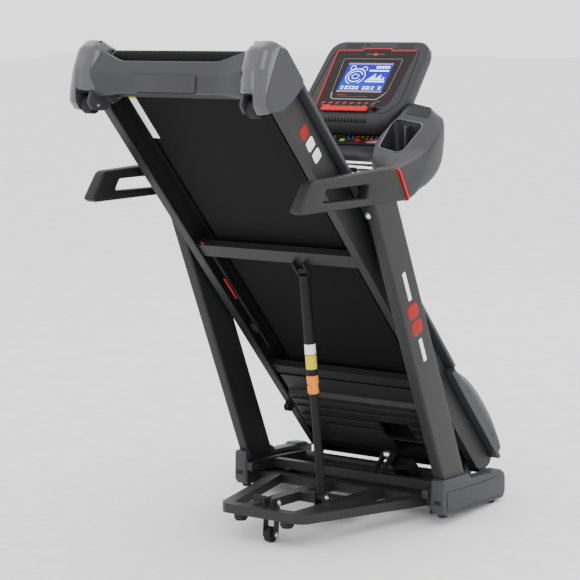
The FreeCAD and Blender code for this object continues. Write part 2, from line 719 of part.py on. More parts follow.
tray_side = [
    (-200, 1060), (-60, 1112), (60, 1114), (120, 1150), (132, 1230), (128, 1296), (98, 1304), (20, 1252),
    (-105, 1170), (-200, 1128),
]
tray_half = [
    (150, 44), (176, -40), (214, -122), (300, -170), (339.5, -198), (339.5, 78), (290, 112), (200, 128),
]
tray_plan = tray_half + [(-x, y) for x, y in reversed(tray_half)]


def tray_block(inset):
    side = shrink(tray_side, inset) if inset else tray_side
    plan = shrink(tray_plan, inset) if inset else tray_plan
    return common(prism(side, -400, 800, "YZ"), prism(plan, 1000, 340, "XY"))


cup_plan = [(226, -96), (324, -128), (320, 6), (204, 28)]


def cup(grow, floor):
    outline = shrink(cup_plan, -grow) if grow else cup_plan
    return prism(outline, floor, 250, "XY", 10 + grow)


keypad_space = prism([(-60, 1100), (-60, 1400), (150, 1400), (106, 1214), (48, 1164)], -168, 336)
keypad_skin = prism([(-60, 1100), (-60, 1400), (150, 1400), (109, 1210), (52, 1160)], -171.5, 343)
head_space = prism([(38, 1190), (60, 1190), (150, 1215), (150, 1400), (38, 1400)], -208, 416)
tray_inner = cut(tray_block(3.5), cup(3, 1117), mirror(cup(3, 1117)), keypad_skin)
tray = cut(tray_block(0), tray_inner, cup(0, 1120), mirror(cup(0, 1120)), keypad_space, head_space)
node("console_tray", tray, GROUND)
PANEL = GROUND * Placement(Vector(0, 50, 1165.9), Rotation(Vector(1, 0, 0), 40.7))
keypad = cut(
    span((-160, 160), (0, 73), (0, 4.3)),
    *[span((x - 9.4, x + 9.4), (11.6, 24.4), (-1, 6)) for x in (-30, 30)],
)
node("keypad_panel", keypad, PANEL)
for label, x in (("start_key", -30), ("stop_key", 30)):
    node(label, span((x - 9, x + 9), (12, 24), (1.6, 6)), PANEL)
pulse = rod("pulse_radius", 560, (-280, "pulse_y", "pulse_z"))
post = span((236, 252), ("pulse_y - 8", "pulse_y + 8"), ("pulse_z", 1113))
node("pulse_bar", fuse(pulse, post, mirror(post)), GROUND)

# console head, in its own frame: X across, Y up the face, Z out towards the walker
head_side = [
    (-137, -46), (-100, -64), (60, -52), (196, -34), (214, -22), (210, -4), (196, 4), (-84, 4),
    (-112, -6), (-134, -26),
]
head_bends = [14, 30, 60, 20, 8, 6, 10, 10, 16, 14]
head_plan = [
    (-195, 150), (-150, 216), (150, 216), (195, 150), (206, -40), (150, -140), (-150, -140), (-206, -40),
]
head_plan_bends = [40, 45, 45, 40, 60, 50, 50, 60]


def head_block(inset):
    side = shrink(head_side, inset) if inset else head_side
    plan = shrink(head_plan, inset) if inset else head_plan
    bends = [max(r - inset, 0) for r in head_bends]
    plan_bends = [max(r - inset, 0) for r in head_plan_bends]
    return common(
        prism(side, -220, 440, "YZ", bends),
        prism(plan, -80, 100, "XY", plan_bends),
    )


plate_plan = [
    (-156, 172), (-60, 172), (-52, 180), (52, 180), (60, 172), (156, 172), (141, -40),
    (112, -80), (-141, -80),
]
head = cut(
    head_block(0),
    head_block(3.5),
    prism(plate_plan, 1, 10, "XY"),
    span(("-screen_half", "screen_half"), (0, "screen_tall"), (-20, 10)),
    rod(9, 30, (95, -66, -20), "z"),
)
node("console_shell", head, FACE)
face_plate = cut(
    prism(shrink(plate_plan, 0.4), 1, 3.4, "XY"),
    span(("-screen_half + 2", "screen_half - 2"), (2, "screen_tall - 2"), (0, 10)),
    rod(9, 30, (95, -66, -20), "z"),
)
node("face_plate", face_plate, FACE)
glass = span(("-screen_half + 0.3", "screen_half - 0.3"), (0.3, "screen_tall - 0.3"), (-6, 0.9))
node("screen", glass, FACE)
node("console_board", span((-120, 120), (-30, 150), (-24, -20)), FACE)
ledge = prism([(-70, 4.5), (-70, 12), (-66, 16), (-78, 16), (-82, 10), (-80, 4.5)], -112, 184)
node("tablet_ledge", ledge, FACE)
key_body = fuse(rod(8.6, 20, (95, -66, -14), "z"), span((87, 103), (-70, -62), (4, 18)))
node("safety_key", key_body, FACE)

# bolts that fasten the uprights
bolts = [rod(7, 6, (412, y, z)) for y, z in ((60, 40), (100, 66), (75, 100))]
knob = rod(8, 4.5, (367.5, -352, 985))
node("upright_bolts", side_pair(knob, *bolts), GROUND)

# ---------------------------------------------------------------- checks and files

doc.recompute()
for feature in doc.Objects:
    if {"Invalid", "Error"} & set(feature.State):
        raise RuntimeError(f"{feature.Name} failed: {feature.State}")
os.makedirs("parts", exist_ok=True)
for part in NODES:
    if part.Shape.isNull() or not part.Shape.isValid() or not part.Shape.Solids:
        raise RuntimeError(f"{part.Label} has no sound solid")
    part.Shape.exportStep(f"parts/{part.Label}.step")
print(len(NODES), "sub-parts written")
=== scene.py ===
import json
import math

import bmesh
import bpy
from mathutils import Matrix, Vector


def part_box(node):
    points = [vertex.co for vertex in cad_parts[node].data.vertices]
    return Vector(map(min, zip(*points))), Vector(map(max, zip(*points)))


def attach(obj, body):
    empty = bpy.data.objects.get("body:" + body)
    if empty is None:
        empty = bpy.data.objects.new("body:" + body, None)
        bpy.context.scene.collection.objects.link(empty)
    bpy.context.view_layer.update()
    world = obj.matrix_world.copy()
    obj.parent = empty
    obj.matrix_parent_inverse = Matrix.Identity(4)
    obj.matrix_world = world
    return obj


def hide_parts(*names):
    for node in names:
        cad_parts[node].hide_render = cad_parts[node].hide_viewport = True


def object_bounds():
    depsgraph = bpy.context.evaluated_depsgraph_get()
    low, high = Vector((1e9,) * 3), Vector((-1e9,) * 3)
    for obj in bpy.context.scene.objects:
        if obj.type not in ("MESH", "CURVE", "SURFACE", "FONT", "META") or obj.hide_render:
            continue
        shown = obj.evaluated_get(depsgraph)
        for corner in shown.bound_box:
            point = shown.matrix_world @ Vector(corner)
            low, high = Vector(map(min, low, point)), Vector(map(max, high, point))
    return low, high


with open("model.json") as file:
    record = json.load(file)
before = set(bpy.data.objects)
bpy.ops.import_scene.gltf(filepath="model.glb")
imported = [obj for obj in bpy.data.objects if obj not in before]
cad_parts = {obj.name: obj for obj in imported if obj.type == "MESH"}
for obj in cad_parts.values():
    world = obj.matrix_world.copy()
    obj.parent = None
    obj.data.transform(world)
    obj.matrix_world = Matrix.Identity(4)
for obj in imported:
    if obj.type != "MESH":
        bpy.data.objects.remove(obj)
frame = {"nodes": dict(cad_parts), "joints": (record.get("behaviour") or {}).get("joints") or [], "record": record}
CAD_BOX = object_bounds()
MM = 0.001
JOINTS = {joint["name"]: joint for joint in frame["joints"]}


def joint_at(name):
    """A joint's place in the machine's metres."""
    return Vector(JOINTS[name]["pos_m"])


# ---------------------------------------------------------------- places on the machine
# Every place is a matrix from its own millimetres to the machine's metres.


def place(origin, x_axis, y_axis):
    """A matrix from millimetres along two given axes to the machine's metres."""
    z_axis = x_axis.cross(y_axis)
    turn = Matrix((x_axis, y_axis, z_axis)).transposed().to_4x4()
    return Matrix.Translation(origin) @ turn @ Matrix.Scale(MM, 4)


ACROSS, AHEAD, UP = Vector((1, 0, 0)), Vector((0, 1, 0)), Vector((0, 0, 1))
HINGE_RISE = 74
GROUND = place(joint_at("incline_hinge") - UP * HINGE_RISE * MM, ACROSS, AHEAD)

ROLLER_BACK, ROLLER_RISE = 345, 78
deck_run = (joint_at("front_roller_spin") - joint_at("rear_roller_spin")).normalized()
deck_up = ACROSS.cross(deck_run)
deck_zero = joint_at("front_roller_spin") + (deck_run * ROLLER_BACK - deck_up * ROLLER_RISE) * MM
DECK = place(deck_zero, ACROSS, deck_run)

face_out = Vector(JOINTS["safety_key_pull"]["axis"])
face_up = face_out.cross(ACROSS)
screen_points = [v.co for v in frame["nodes"]["screen"].data.vertices]
SCREEN_INSET, SCREEN_PROUD = 0.3, 0.9
face_zero = (
    face_up * (min(p.dot(face_up) for p in screen_points) - SCREEN_INSET * MM)
    + face_out * (max(p.dot(face_out) for p in screen_points) - SCREEN_PROUD * MM)
)
FACE = place(face_zero, ACROSS, face_up)

panel_out = -Vector(JOINTS["start_press"]["axis"])
panel_up = panel_out.cross(ACROSS)
keypad_points = [v.co for v in frame["nodes"]["keypad_panel"].data.vertices]
panel_zero = (
    panel_up * min(p.dot(panel_up) for p in keypad_points)
    + panel_out * min(p.dot(panel_out) for p in keypad_points)
)
PANEL = place(panel_zero, ACROSS, panel_up)

strut_run = Vector(JOINTS["strut_slide"]["axis"])
STRUT_UP = place(joint_at("strut_pivot"), ACROSS, strut_run.cross(ACROSS))

SIDE_ON = Matrix(((0, 0, 1, 0), (1, 0, 0, 0), (0, 1, 0, 0), (0, 0, 0, 1)))


# ---------------------------------------------------------------- shader maths


class Sock:
    """A shader socket that takes arithmetic."""

    def __init__(self, finish, link):
        self.finish, self.link = finish, link

    def maths(self, operation, *values):
        """A Math node fed by these values."""
        return self.finish.node("ShaderNodeMath", {"operation": operation}, *values)

    def __add__(self, other):
        return self.maths("ADD", self, other)

    def __sub__(self, other):
        return self.maths("SUBTRACT", self, other)

    def __rsub__(self, other):
        return self.maths("SUBTRACT", other, self)

    def __mul__(self, other):
        return self.maths("MULTIPLY", self, other)

    def __truediv__(self, other):
        return self.maths("DIVIDE", self, other)

    def __gt__(self, other):
        return self.maths("GREATER_THAN", self, other)

    __radd__ = __add__
    __rmul__ = __mul__

    def wave(self):
        """Its sine."""
        return self.maths("SINE", self)



class Finish:
    """One material, with its node maker and its places on the machine."""

    def __init__(self, name, **constants):
        self.material = bpy.data.materials.new(name)
        self.material.use_nodes = True
        self.tree = self.material.node_tree
        self.shader = self.tree.nodes["Principled BSDF"]
        for socket, value in constants.items():
            self.shader.inputs[socket.replace("_", " ")].default_value = value

    def node(self, kind, settings, *values, out=0, **named):
        """Any node, from its type, its settings and the values or links of its sockets."""
        made = self.tree.nodes.new(kind)
        for key, value in settings.items():
            if key == "stops":
                for stop in value[2:]:
                    made.color_ramp.elements.new(stop[0])
                for element, stop in zip(made.color_ramp.elements, value):
                    element.position = stop[0]
                    element.color = (*stop[1], 1)
            else:
                setattr(made, key, value)
        pairs = [*enumerate(values), *((key.replace("_", " "), v) for key, v in named.items())]
        for key, value in pairs:
            self.feed(made.inputs[key], value)
        return Sock(self, made.outputs[out])

    def feed(self, socket, value):
        """Link or set one socket."""
        if isinstance(value, Sock):
            self.tree.links.new(value.link, socket)
        elif isinstance(value, (tuple, list)) and len(value) == 3 and len(
            socket.default_value
        ) == 4:
            socket.default_value = (*value, 1)
        else:
            socket.default_value = value

    def set(self, **values):
        """Feed the shader's sockets by name."""
        for socket, value in values.items():
            self.feed(self.shader.inputs[socket.replace("_", " ")], value)
        return self

    def spot(self):
        """The place on the surface, in the object's own space."""
        return self.node("ShaderNodeTexCoord", {}, out="Object")

    def axes(self):
        """That place as three separate numbers."""
        spot = self.spot()
        return [self.node("ShaderNodeSeparateXYZ", {}, spot, out=axis) for axis in "XYZ"]

    def noise(self, scale, detail=3.0):
        """Cloudy noise over the surface."""
        return self.node("ShaderNodeTexNoise", {}, Vector=self.spot(), Scale=scale, Detail=detail)

    def mix(self, amount, first, second):
        """A blend of two colours."""
        made = self.tree.nodes.new("ShaderNodeMix")
        made.data_type = "RGBA"
        self.feed(made.inputs["Factor"], amount)
        self.feed(made.inputs[6], first)
        self.feed(made.inputs[7], second)
        return Sock(self, made.outputs[2])

    def ramp(self, amount, *stops):
        """A colour read from a row of stops."""
        return self.node("ShaderNodeValToRGB", {"stops": stops}, amount)

    def bump(self, height, strength, distance):
        """A normal that follows a height."""
        return self.node("ShaderNodeBump", {}, Strength=strength, Distance=distance, Height=height)


def shade(color, by):
    """The same colour, lighter or darker."""
    return tuple(min(1, channel * by) for channel in color)


def moulded(name, color, roughness, grain=1500, depth=0.00012, coat=0.0):
    """Moulded plastic: a fine spark-eroded grain over a faint cloudy unevenness."""
    finish = Finish(name, Coat_Weight=coat, Coat_Roughness=0.2, Specular_IOR_Level=0.3)
    cloud = finish.noise(9)
    fine = finish.noise(grain, 2)
    tone = finish.mix(cloud * 0.5 + fine * 0.5, shade(color, 0.82), shade(color, 1.18))
    return finish.set(
        Base_Color=tone,
        Roughness=roughness - 0.08 + cloud * 0.16,
        Normal=finish.bump(fine, 0.5, depth),
    ).material


def coated(name, color, roughness=0.42):
    """Powder coat on steel: orange-peel ripple and a scatter of light specks."""
    finish = Finish(name, Specular_IOR_Level=0.3)
    peel = finish.noise(420, 2)
    cloud = finish.noise(6)
    speck = finish.noise(2600, 1) > 0.72
    tone = finish.mix(cloud, shade(color, 0.85), shade(color, 1.15))
    return finish.set(
        Base_Color=finish.mix(speck * 0.35, tone, shade(color, 1.8)),
        Roughness=roughness + peel * 0.12,
        Normal=finish.bump(peel, 0.35, 0.0002),
    ).material


def metal(name, color, roughness, brush=(60, 60, 1600)):
    """Bright steel with fine brushed or turned lines."""
    finish = Finish(name)
    lines = finish.node(
        "ShaderNodeTexNoise", {},
        Vector=finish.node("ShaderNodeVectorMath", {"operation": "MULTIPLY"}, finish.spot(), brush),
        Scale=1.0, Detail=2.0,
    )
    return finish.set(
        Base_Color=finish.mix(lines, shade(color, 0.8), shade(color, 1.1)),
        Metallic=1.0,
        Roughness=roughness + lines * 0.15,
        Normal=finish.bump(lines, 0.2, 0.0001),
    ).material


def printed(name, color, roughness=0.4, glow=0.0):
    """Screen-printed ink or a coloured insert, with a faint unevenness."""
    finish = Finish(name, Specular_IOR_Level=0.25)
    cloud = finish.noise(160)
    tone = finish.mix(cloud, shade(color, 0.9), shade(color, 1.08))
    finish.set(Base_Color=tone, Roughness=roughness + cloud * 0.1)
    if glow:
        finish.shader.inputs["Emission Strength"].default_value = glow
        finish.set(Emission_Color=tone)
    return finish.material


def belt_cover(name, color, roughness):
    """Belt ply: a woven back with rows of fine threads each way."""
    finish = Finish(name, Specular_IOR_Level=0.12)
    across, ahead, up = finish.axes()
    along = ahead * deck_run.y + up * deck_run.z
    threads = (across * 2600).wave() * (along * 2600).wave()
    cloud = finish.noise(4)
    tone = finish.mix(cloud * 0.6 + threads * 0.2 + 0.2, shade(color, 0.75), shade(color, 1.35))
    return finish.set(
        Base_Color=tone,
        Roughness=roughness + cloud * 0.12,
        Normal=finish.bump(threads, 0.3, 0.0003),
    ).material


def lattice(name, color):
    """Rubber mat moulded with a close diamond pattern."""
    finish = Finish(name)
    across, ahead, _ = finish.axes()
    studs = ((across + ahead) * 1100).wave() * ((across - ahead) * 1100).wave()
    tone = finish.mix(studs * 0.5 + 0.5, shade(color, 0.6), shade(color, 1.6))
    return finish.set(
        Base_Color=tone, Roughness=0.75 + studs * 0.1, Normal=finish.bump(studs, 0.9, 0.0008)
    ).material


def lit_screen(name):
    """The display's own light: violet at the top right, cyan along the bottom."""
    finish = Finish(name, Roughness=0.5, Emission_Strength=1.1, Specular_IOR_Level=0.05)
    across, _, up = finish.axes()
    low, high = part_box("screen")
    rise = (up - low.z) / (high.z - low.z)
    side = (across - low.x) / (high.x - low.x)
    cloud = finish.noise(14, 1)
    tone = finish.ramp(
        rise + (cloud - 0.5) * 0.35, (0.0, (0.004, 0.03, 0.70)), (0.28, (0.005, 0.12, 0.95)),
        (0.55, (0.003, 0.012, 0.85)), (1.0, (0.03, 0.01, 0.75)),
    )
    tone = finish.mix(side * 0.3, tone, (0.10, 0.02, 0.85))
    return finish.set(Base_Color=(0.004, 0.006, 0.03), Emission_Color=tone).material


GREY, DARK, STEEL_GREY = (0.034, 0.034, 0.037), (0.0108, 0.0108, 0.0108), (0.0152, 0.0152, 0.0155)
RED = (0.60, 0.003, 0.006)
paint = coated("powder_coat", STEEL_GREY)
grey_shell = moulded("textured_grey_shell", GREY, 0.5)
# A darker copy of the textured grey shell for the console tray, arms and head: painted shade for the side light on
# them.
console_grey_painted_shade = moulded("textured_console_shell_painted_shade", shade(GREY, 0.72), 0.5)
gloss_shell = moulded("polished_grey_band", shade(GREY, 1.15), 0.22, 900, 0.00003, 0.9)
hand_plastic = moulded("handrail_plastic", DARK, 0.55, 1900)
black_plastic = moulded("black_plastic", (0.010, 0.010, 0.010), 0.5)
# Near-black for grooves, seams, vents and slots: painted shade standing in for the shade inside them.
groove_painted_shade = moulded("shadow_groove", (0.006, 0.006, 0.006), 0.7)
pad_rubber = moulded("pad_rubber", (0.013, 0.013, 0.013), 0.8, 600, 0.0003)
belt_ply = belt_cover("belt_ply", (0.0042, 0.0042, 0.0042), 0.65)
mat_rubber = lattice("pocket_mat", (0.010, 0.010, 0.0105))
overlay = moulded("printed_overlay", (0.013, 0.0075, 0.0065), 0.7, 3000, 0.00002)
bright = metal("zinc_plate", (0.72, 0.72, 0.72), 0.2)
polished = metal("polished_tube", (0.85, 0.85, 0.86), 0.08, (2000, 30, 30))
motor_black = coated("motor_black", (0.0032, 0.0032, 0.0034), 0.6)
red_ink = printed("red_insert", RED, 0.35)
white_ink = printed("white_print", (0.85, 0.85, 0.85))
silver_ink = printed("silver_print", (0.26, 0.26, 0.265), 0.3)
dim_ink = printed("dim_print", (0.09, 0.085, 0.085), 0.5)
deep_red = printed("deep_red_print", (0.30, 0.001, 0.002), 0.5)
yellow_ink = printed("yellow_print", (0.62, 0.52, 0.0))
orange_cap = printed("orange_collar", (0.80, 0.24, 0.01), 0.5)
display = lit_screen("lit_screen")
screen_white = printed("screen_white", (0.82, 0.92, 1.0), 0.3, 1.6)
board_face = moulded("phenolic_board", (0.012, 0.010, 0.009), 0.5, 300)
circuit = moulded("solder_mask", (0.02, 0.14, 0.05), 0.4, 200)
fins = metal("extruded_aluminium", (0.6, 0.6, 0.62), 0.35)
KEY_INKS = {
    "blue": printed("blue_key", (0.05, 0.30, 0.85)),
    "orange": printed("orange_key", (0.9, 0.35, 0.03)),
    "yellow": printed("yellow_key", (0.75, 0.75, 0.03)),
    "green": printed("green_key", (0.12, 0.6, 0.10)),
    "magenta": printed("magenta_key", (0.75, 0.04, 0.4)),
}

SLOT_FINISH = {
    "frame_paint": paint, "grey_plastic": grey_shell, "handle_plastic": hand_plastic,
    "black_plastic": black_plastic, "overlay": overlay, "display": display, "red_plastic": red_ink,
    "green_plastic": KEY_INKS["green"], "orange_plastic": orange_cap, "belt_rubber": belt_ply,
    "pad_rubber": pad_rubber, "bright_steel": bright, "pulse_steel": polished,
    "motor_paint": motor_black, "heat_sink": fins, "deck_wood": board_face,
    "circuit_board": circuit,
}
for part in frame["record"]["subparts"]:
    cad = frame["nodes"][part["node"]]
    for material_slot in cad.material_slots:
        material_slot.material = SLOT_FINISH[part["material_slot"]]


# ---------------------------------------------------------------- piece making


def finish_piece(piece, material, body, replaced=(), crease=35):
    """Give a piece its finish, its body and the nodes it stands for."""
    piece.data.materials.clear()
    piece.data.materials.append(material)
    for face in piece.data.polygons:
        face.use_smooth = True
    piece.data.set_sharp_from_angle(angle=math.radians(crease))
    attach(piece, body)
    if replaced:
        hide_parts(*replaced)
    return piece


def linked(name, mesh):
    """A new object in the scene that carries a mesh."""
    piece = bpy.data.objects.new(name, mesh)
    bpy.context.scene.collection.objects.link(piece)
    return piece


def cleaned(shape, matrix):
    """A closed mesh from a bmesh, in the machine's metres."""
    shape.transform(matrix)
    bmesh.ops.remove_doubles(shape, verts=shape.verts, dist=0.02 * MM)
    bmesh.ops.recalc_face_normals(shape, faces=shape.faces)
    mesh = bpy.data.meshes.new("mesh")
    shape.to_mesh(mesh)
    shape.free()
    return mesh


def as_list(value, count):
    """One value for each corner, from a single value or a list."""
    return list(value) if isinstance(value, (list, tuple)) else [value] * count


def rounded(points, radii, steps=5):
    """A closed outline with each corner turned into an arc of its own radius."""
    outline = []
    count = len(points)
    for i, radius in enumerate(as_list(radii, count)):
        corner = Vector(points[i])
        back = Vector(points[i - 1]) - corner
        ahead = Vector(points[(i + 1) % count]) - corner
        half = back.angle(ahead) / 2
        reach = radius / math.tan(half) if radius else 0
        reach = min(reach, back.length * 0.49, ahead.length * 0.49)
        if reach < 0.01:
            outline.append(corner)
            continue
        start, end = corner + back.normalized() * reach, corner + ahead.normalized() * reach
        for k in range(steps + 1):
            t = k / steps
            outline.append(start * (1 - t) ** 2 + corner * 2 * t * (1 - t) + end * t ** 2)
    return outline


def slab(name, loops, low, high, edge, where, steps=3):
    """A plate between two heights from outlines, the later ones holes, with rounded edges."""
    curve = bpy.data.curves.new(name, "CURVE")
    curve.dimensions = "2D"
    curve.fill_mode = "BOTH"
    edge = min(edge, (high - low) / 2 * 0.98)
    curve.extrude = (high - low) / 2 - edge
    curve.bevel_depth = edge
    curve.bevel_resolution = steps
    curve.offset = -edge
    for outline in loops:
        spline = curve.splines.new("POLY")
        spline.points.add(len(outline) - 1)
        for point, spot in zip(spline.points, outline):
            point.co = (spot[0], spot[1], 0, 1)
        spline.use_cyclic_u = True
    drawn = bpy.data.objects.new(name, curve)
    shape = bmesh.new()
    shape.from_mesh(bpy.data.meshes.new_from_object(drawn))
    bpy.data.objects.remove(drawn)
    return cleaned(shape, where @ Matrix.Translation((0, 0, (low + high) / 2)))


def plate(name, loops, low, high, edge, where, material, body, slot, replaced=(), steps=3):
    """A finished piece made of one slab."""
    mesh = slab(name, loops, low, high, edge, where, steps)
    return finish_piece(linked(name, mesh), material, body, replaced)


def gathered(name, meshes, material, body, replaced=(), crease=35):
    """One piece made of several like solids."""
    shape = bmesh.new()
    for mesh in meshes:
        shape.from_mesh(mesh)
        bpy.data.meshes.remove(mesh)
    mesh = bpy.data.meshes.new(name)
    shape.to_mesh(mesh)
    shape.free()
    return finish_piece(linked(name, mesh), material, body, replaced, crease)


def skin(rings, where, closed_ends=True):
    """A surface through rings of points, each a closed loop of the same length."""
    shape = bmesh.new()
    loops = [[shape.verts.new(point) for point in ring] for ring in rings]
    for first, second in zip(loops, loops[1:]):
        for k in range(len(first)):
            follow = (k + 1) % len(first)
            shape.faces.new((first[k], first[follow], second[follow], second[k]))
    if closed_ends:
        shape.faces.new(loops[0])
        shape.faces.new(loops[-1])
    return cleaned(shape, where)


def turned(profile, where, turns=32):
    """A turned solid about the local Z axis from (radius, height) pairs."""
    rings = []
    for radius, height in profile:
        angles = [math.tau * k / turns for k in range(turns)]
        rings.append([(radius * math.cos(a), radius * math.sin(a), height) for a in angles])
    return skin(rings, where)


def spindle(where, at, along, profile):
    """A turned solid standing at a point of a place, along an axis of it."""
    turn = Vector((0, 0, 1)).rotation_difference(Vector(along)).to_matrix().to_4x4()
    return turned(profile, where @ Matrix.Translation(at) @ turn)


def bolt_head(where, at, along, radius=7, tall=5):
    """A domed bolt head with a socket, over a washer."""
    return spindle(
        where, at, along,
        [
            (radius * 1.35, 0), (radius * 1.35, 1.2), (radius, 1.4), (radius, tall * 0.5),
            (radius * 0.75, tall * 0.9), (radius * 0.45, tall), (radius * 0.45, tall * 0.4),
            (radius * 0.1, tall * 0.4),
        ],
    )


def ribbon(points, width, low, high, where, closed=False):
    """A flat strip of even width along a line, with mitred corners."""
    spots = [Vector(p) for p in points]
    count = len(spots)
    sides = []
    for i, spot in enumerate(spots):
        before = spots[i] - spots[i - 1] if closed or i else spots[1] - spots[0]
        after = spots[(i + 1) % count] - spot if closed or i < count - 1 else before
        first, second = before.normalized(), after.normalized()
        normal = Vector((-first.y - second.y, first.x + second.x)).normalized()
        reach = width / 2 / max(0.4, normal.dot(Vector((-first.y, first.x))))
        sides.append((spot + normal * reach, spot - normal * reach))
    rings = [
        [(a.x, a.y, low), (a.x, a.y, high), (b.x, b.y, high), (b.x, b.y, low)] for a, b in sides
    ]
    if closed:
        return skin([*rings, rings[0]], where, False)
    return skin(rings, where)


def bar(x, y, z, edge, where):
    """A rounded block given by its two ends along each axis."""
    corners = [(x[0], y[0]), (x[1], y[0]), (x[1], y[1]), (x[0], y[1])]
    return slab("bar", [rounded(corners, edge * 1.5, 3)], *z, edge, where, 2)


def blend_between(stops, value):
    """Straight-line reading of a table of (place, amount) pairs."""
    for (a, low), (b, high) in zip(stops, stops[1:]):
        if value <= b:
            share = max(0, (value - a) / (b - a))
            return low + (high - low) * share
    return stops[-1][1]


def ease(value, start, end):
    """A smooth rise from 0 to 1 between two places."""
    share = min(1, max(0, (value - start) / (end - start)))
    return share * share * (3 - 2 * share)


def mirrored(points, side):
    """Plan points on one side of the machine's middle."""
    return [(x * side, y) for x, y in points]


# ---------------------------------------------------------------- uprights, shoes and handrails

LEAN = math.radians(23.5)
UPRIGHT_OUT, UPRIGHT_THICK, UPRIGHT_DEEP, UPRIGHT_LONG = 412, 40, 117, 1165
UPRIGHT_AHEAD, UPRIGHT_RISE = 47, 12
GROUND_SIDE, DECK_SIDE = GROUND @ SIDE_ON, DECK @ SIDE_ON
SIDES = (("right", 1), ("left", -1))


def across_span(side, inner, outer):
    """The two ends of a stretch across the machine, on either side of its middle."""
    return (inner, outer) if side > 0 else (-outer, -inner)


def upright_place(x):
    """The leaning frame of an upright: across, along its depth, and up its length."""
    foot = Matrix.Translation((x, UPRIGHT_AHEAD, UPRIGHT_RISE))
    return GROUND @ foot @ Matrix.Rotation(LEAN, 4, "X")


def uprights():
    """The two leaning tubes, each with two white stripes and a red band on its outer face."""
    for word, side in SIDES:
        low_x = across_span(side, UPRIGHT_OUT - UPRIGHT_THICK, UPRIGHT_OUT)[0]
        section = [(0, 0), (UPRIGHT_THICK, 0), (UPRIGHT_THICK, UPRIGHT_DEEP), (0, UPRIGHT_DEEP)]
        plate(
            f"{word}_upright_tube", [rounded(section, 9, 7)], 0, UPRIGHT_LONG, 0.4,
            upright_place(low_x), paint, "base", "frame_paint", [f"{word}_upright"],
        )
        face = across_span(side, UPRIGHT_OUT, UPRIGHT_OUT + 0.5)
        for kind, ink, slot, inset, bend, runs in (
            ("stripes", white_ink, "frame_paint", 50, 4, ((528, 606), (742, 838))),
            ("band", deep_red, "red_plastic", 30, 20, ((622, 670), (678, 726))),
        ):
            near, far = inset, UPRIGHT_DEEP - inset
            meshes = []
            for start, end in runs:
                mark = rounded([(near, start), (far, start), (far, end), (near, end)], bend)
                meshes.append(slab("mark", [mark], *face, 0.2, upright_place(0) @ SIDE_ON))
            gathered(f"{word}_upright_{kind}", meshes, ink, "base")


SHOE_SIDE = [
    (-2, 10), (-16, 28), (-14, 119), (-6, 125), (133, 125), (152, 107), (262, 104), (276, 111),
    (330, 107), (350, 95), (358, 78), (358, 30), (345, 10),
]
SHOE_BENDS = [6, 8, 6, 4, 5, 8, 8, 6, 12, 12, 16, 14, 8]
SHOE_PANEL = [(8, 22), (4, 84), (200, 82), (296, 88), (326, 74), (332, 36), (322, 22)]
PANEL_BENDS = [10, 10, 30, 20, 14, 14, 10]


def shoes():
    """The moulded feet round the uprights, with a raised panel, and strips of painted shade for its groove and a
    notch.
    """
    for word, side in SIDES:
        plate(
            f"{word}_shoe_cover", [rounded(SHOE_SIDE, SHOE_BENDS)], *across_span(side, 372.5, 421),
            5, GROUND_SIDE, grey_shell, "base", "grey_plastic", [f"{word}_shoe"],
        )
        panel = rounded(SHOE_PANEL, PANEL_BENDS)
        plate(
            f"{word}_shoe_panel", [panel], *across_span(side, 418, 424), 2.5, GROUND_SIDE,
            grey_shell, "base", "grey_plastic",
        )
        # The panel's groove is a near-black strip laid on the surface: painted shade.
        mesh = ribbon(panel, 2.4, *across_span(side, 420.5, 421.4), GROUND_SIDE, True)
        gathered(f"{word}_shoe_groove_shade", [mesh], groove_painted_shade, "base")
        # The notch is a near-black block: painted shade.
        notch = bar(across_span(side, 384, 412), (-16.6, -14.4), (44, 58), 0.8, GROUND)
        gathered(f"{word}_shoe_notch_shade", [notch], groove_painted_shade, "base")


RAIL_SIDE = [(-762, 1022), (-702, 1106), (-330, 1124), (-272, 1119), (-216, 1023), (-740, 1012)]
GRIP_GAP = [(-655, 1042), (-632, 1078), (-418, 1082), (-430, 1042)]
RING_FOOT, RING_LOW, RING_LEAN = -213.5, 1022, 0.55


def handrails():
    """The hand grips with their finger gaps, and the red rings where the console arms begin."""
    for word, side in SIDES:
        loops = [rounded(RAIL_SIDE, [16, 34, 60, 12, 10, 20], 7), rounded(GRIP_GAP, [8, 12, 8, 6])]
        plate(
            f"{word}_hand_grip", loops, *across_span(side, 374, 416), 8, GROUND_SIDE, hand_plastic,
            "base", "handle_plastic", [f"{word}_handrail"], 4,
        )
    meshes = []
    for _, side in SIDES:
        section = rounded(
            mirrored([(372.4, 1021), (420, 1021), (419, 1121), (372.4, 1121)], side), 12
        )
        rings = [
            [(p.x, RING_FOOT - (p.y - RING_LOW) * RING_LEAN + step, p.y) for p in section]
            for step in (-3, 3)
        ]
        meshes.append(skin(rings, GROUND))
    gathered("red_trim_rings", meshes, red_ink, "base", ["trim_rings"])


# ---------------------------------------------------------------- console tray and arms

TRAY_FRONT = [
    (0, 18), (90, 14), (140, -8), (176, -50), (214, -124), (256, -156), (300, -178), (340, -212),
    (371, -242), (417, -242), (426, -160),
]
TRAY_REAR = [
    (0, 130), (200, 128), (290, 112), (335, 84), (365, 56), (386, 28), (402, -6), (414, -54),
    (422, -104), (426, -140),
]
OUTER_TOP = [(-240, 1116), (-105, 1169), (20, 1250), (101, 1307), (140, 1328)]
KEYPAD_TOP = [(-60, 1118), (0, 1136), (28, 1152), (50, 1167), (106, 1215), (140, 1240)]
ARM_LOW = [(-240, 1022), (-110, 1063), (0, 1116), (40, 1180), (60, 1235), (140, 1290)]
TRAY_LOW = [(-240, 1034), (-200, 1060), (-60, 1112), (60, 1116), (120, 1150), (140, 1200)]
ROUND_FROM, ARM_OUT = 406, 427


def tray_top(x, y):
    """The height of the tray's upper face: low at the keys, high over the wells and arms."""
    high = blend_between(OUTER_TOP, y)
    low = blend_between(KEYPAD_TOP, y)
    inner = 164 - 54 * ease(-y, -60, 10)
    return low + (high - low) * ease(abs(x), inner, 206)


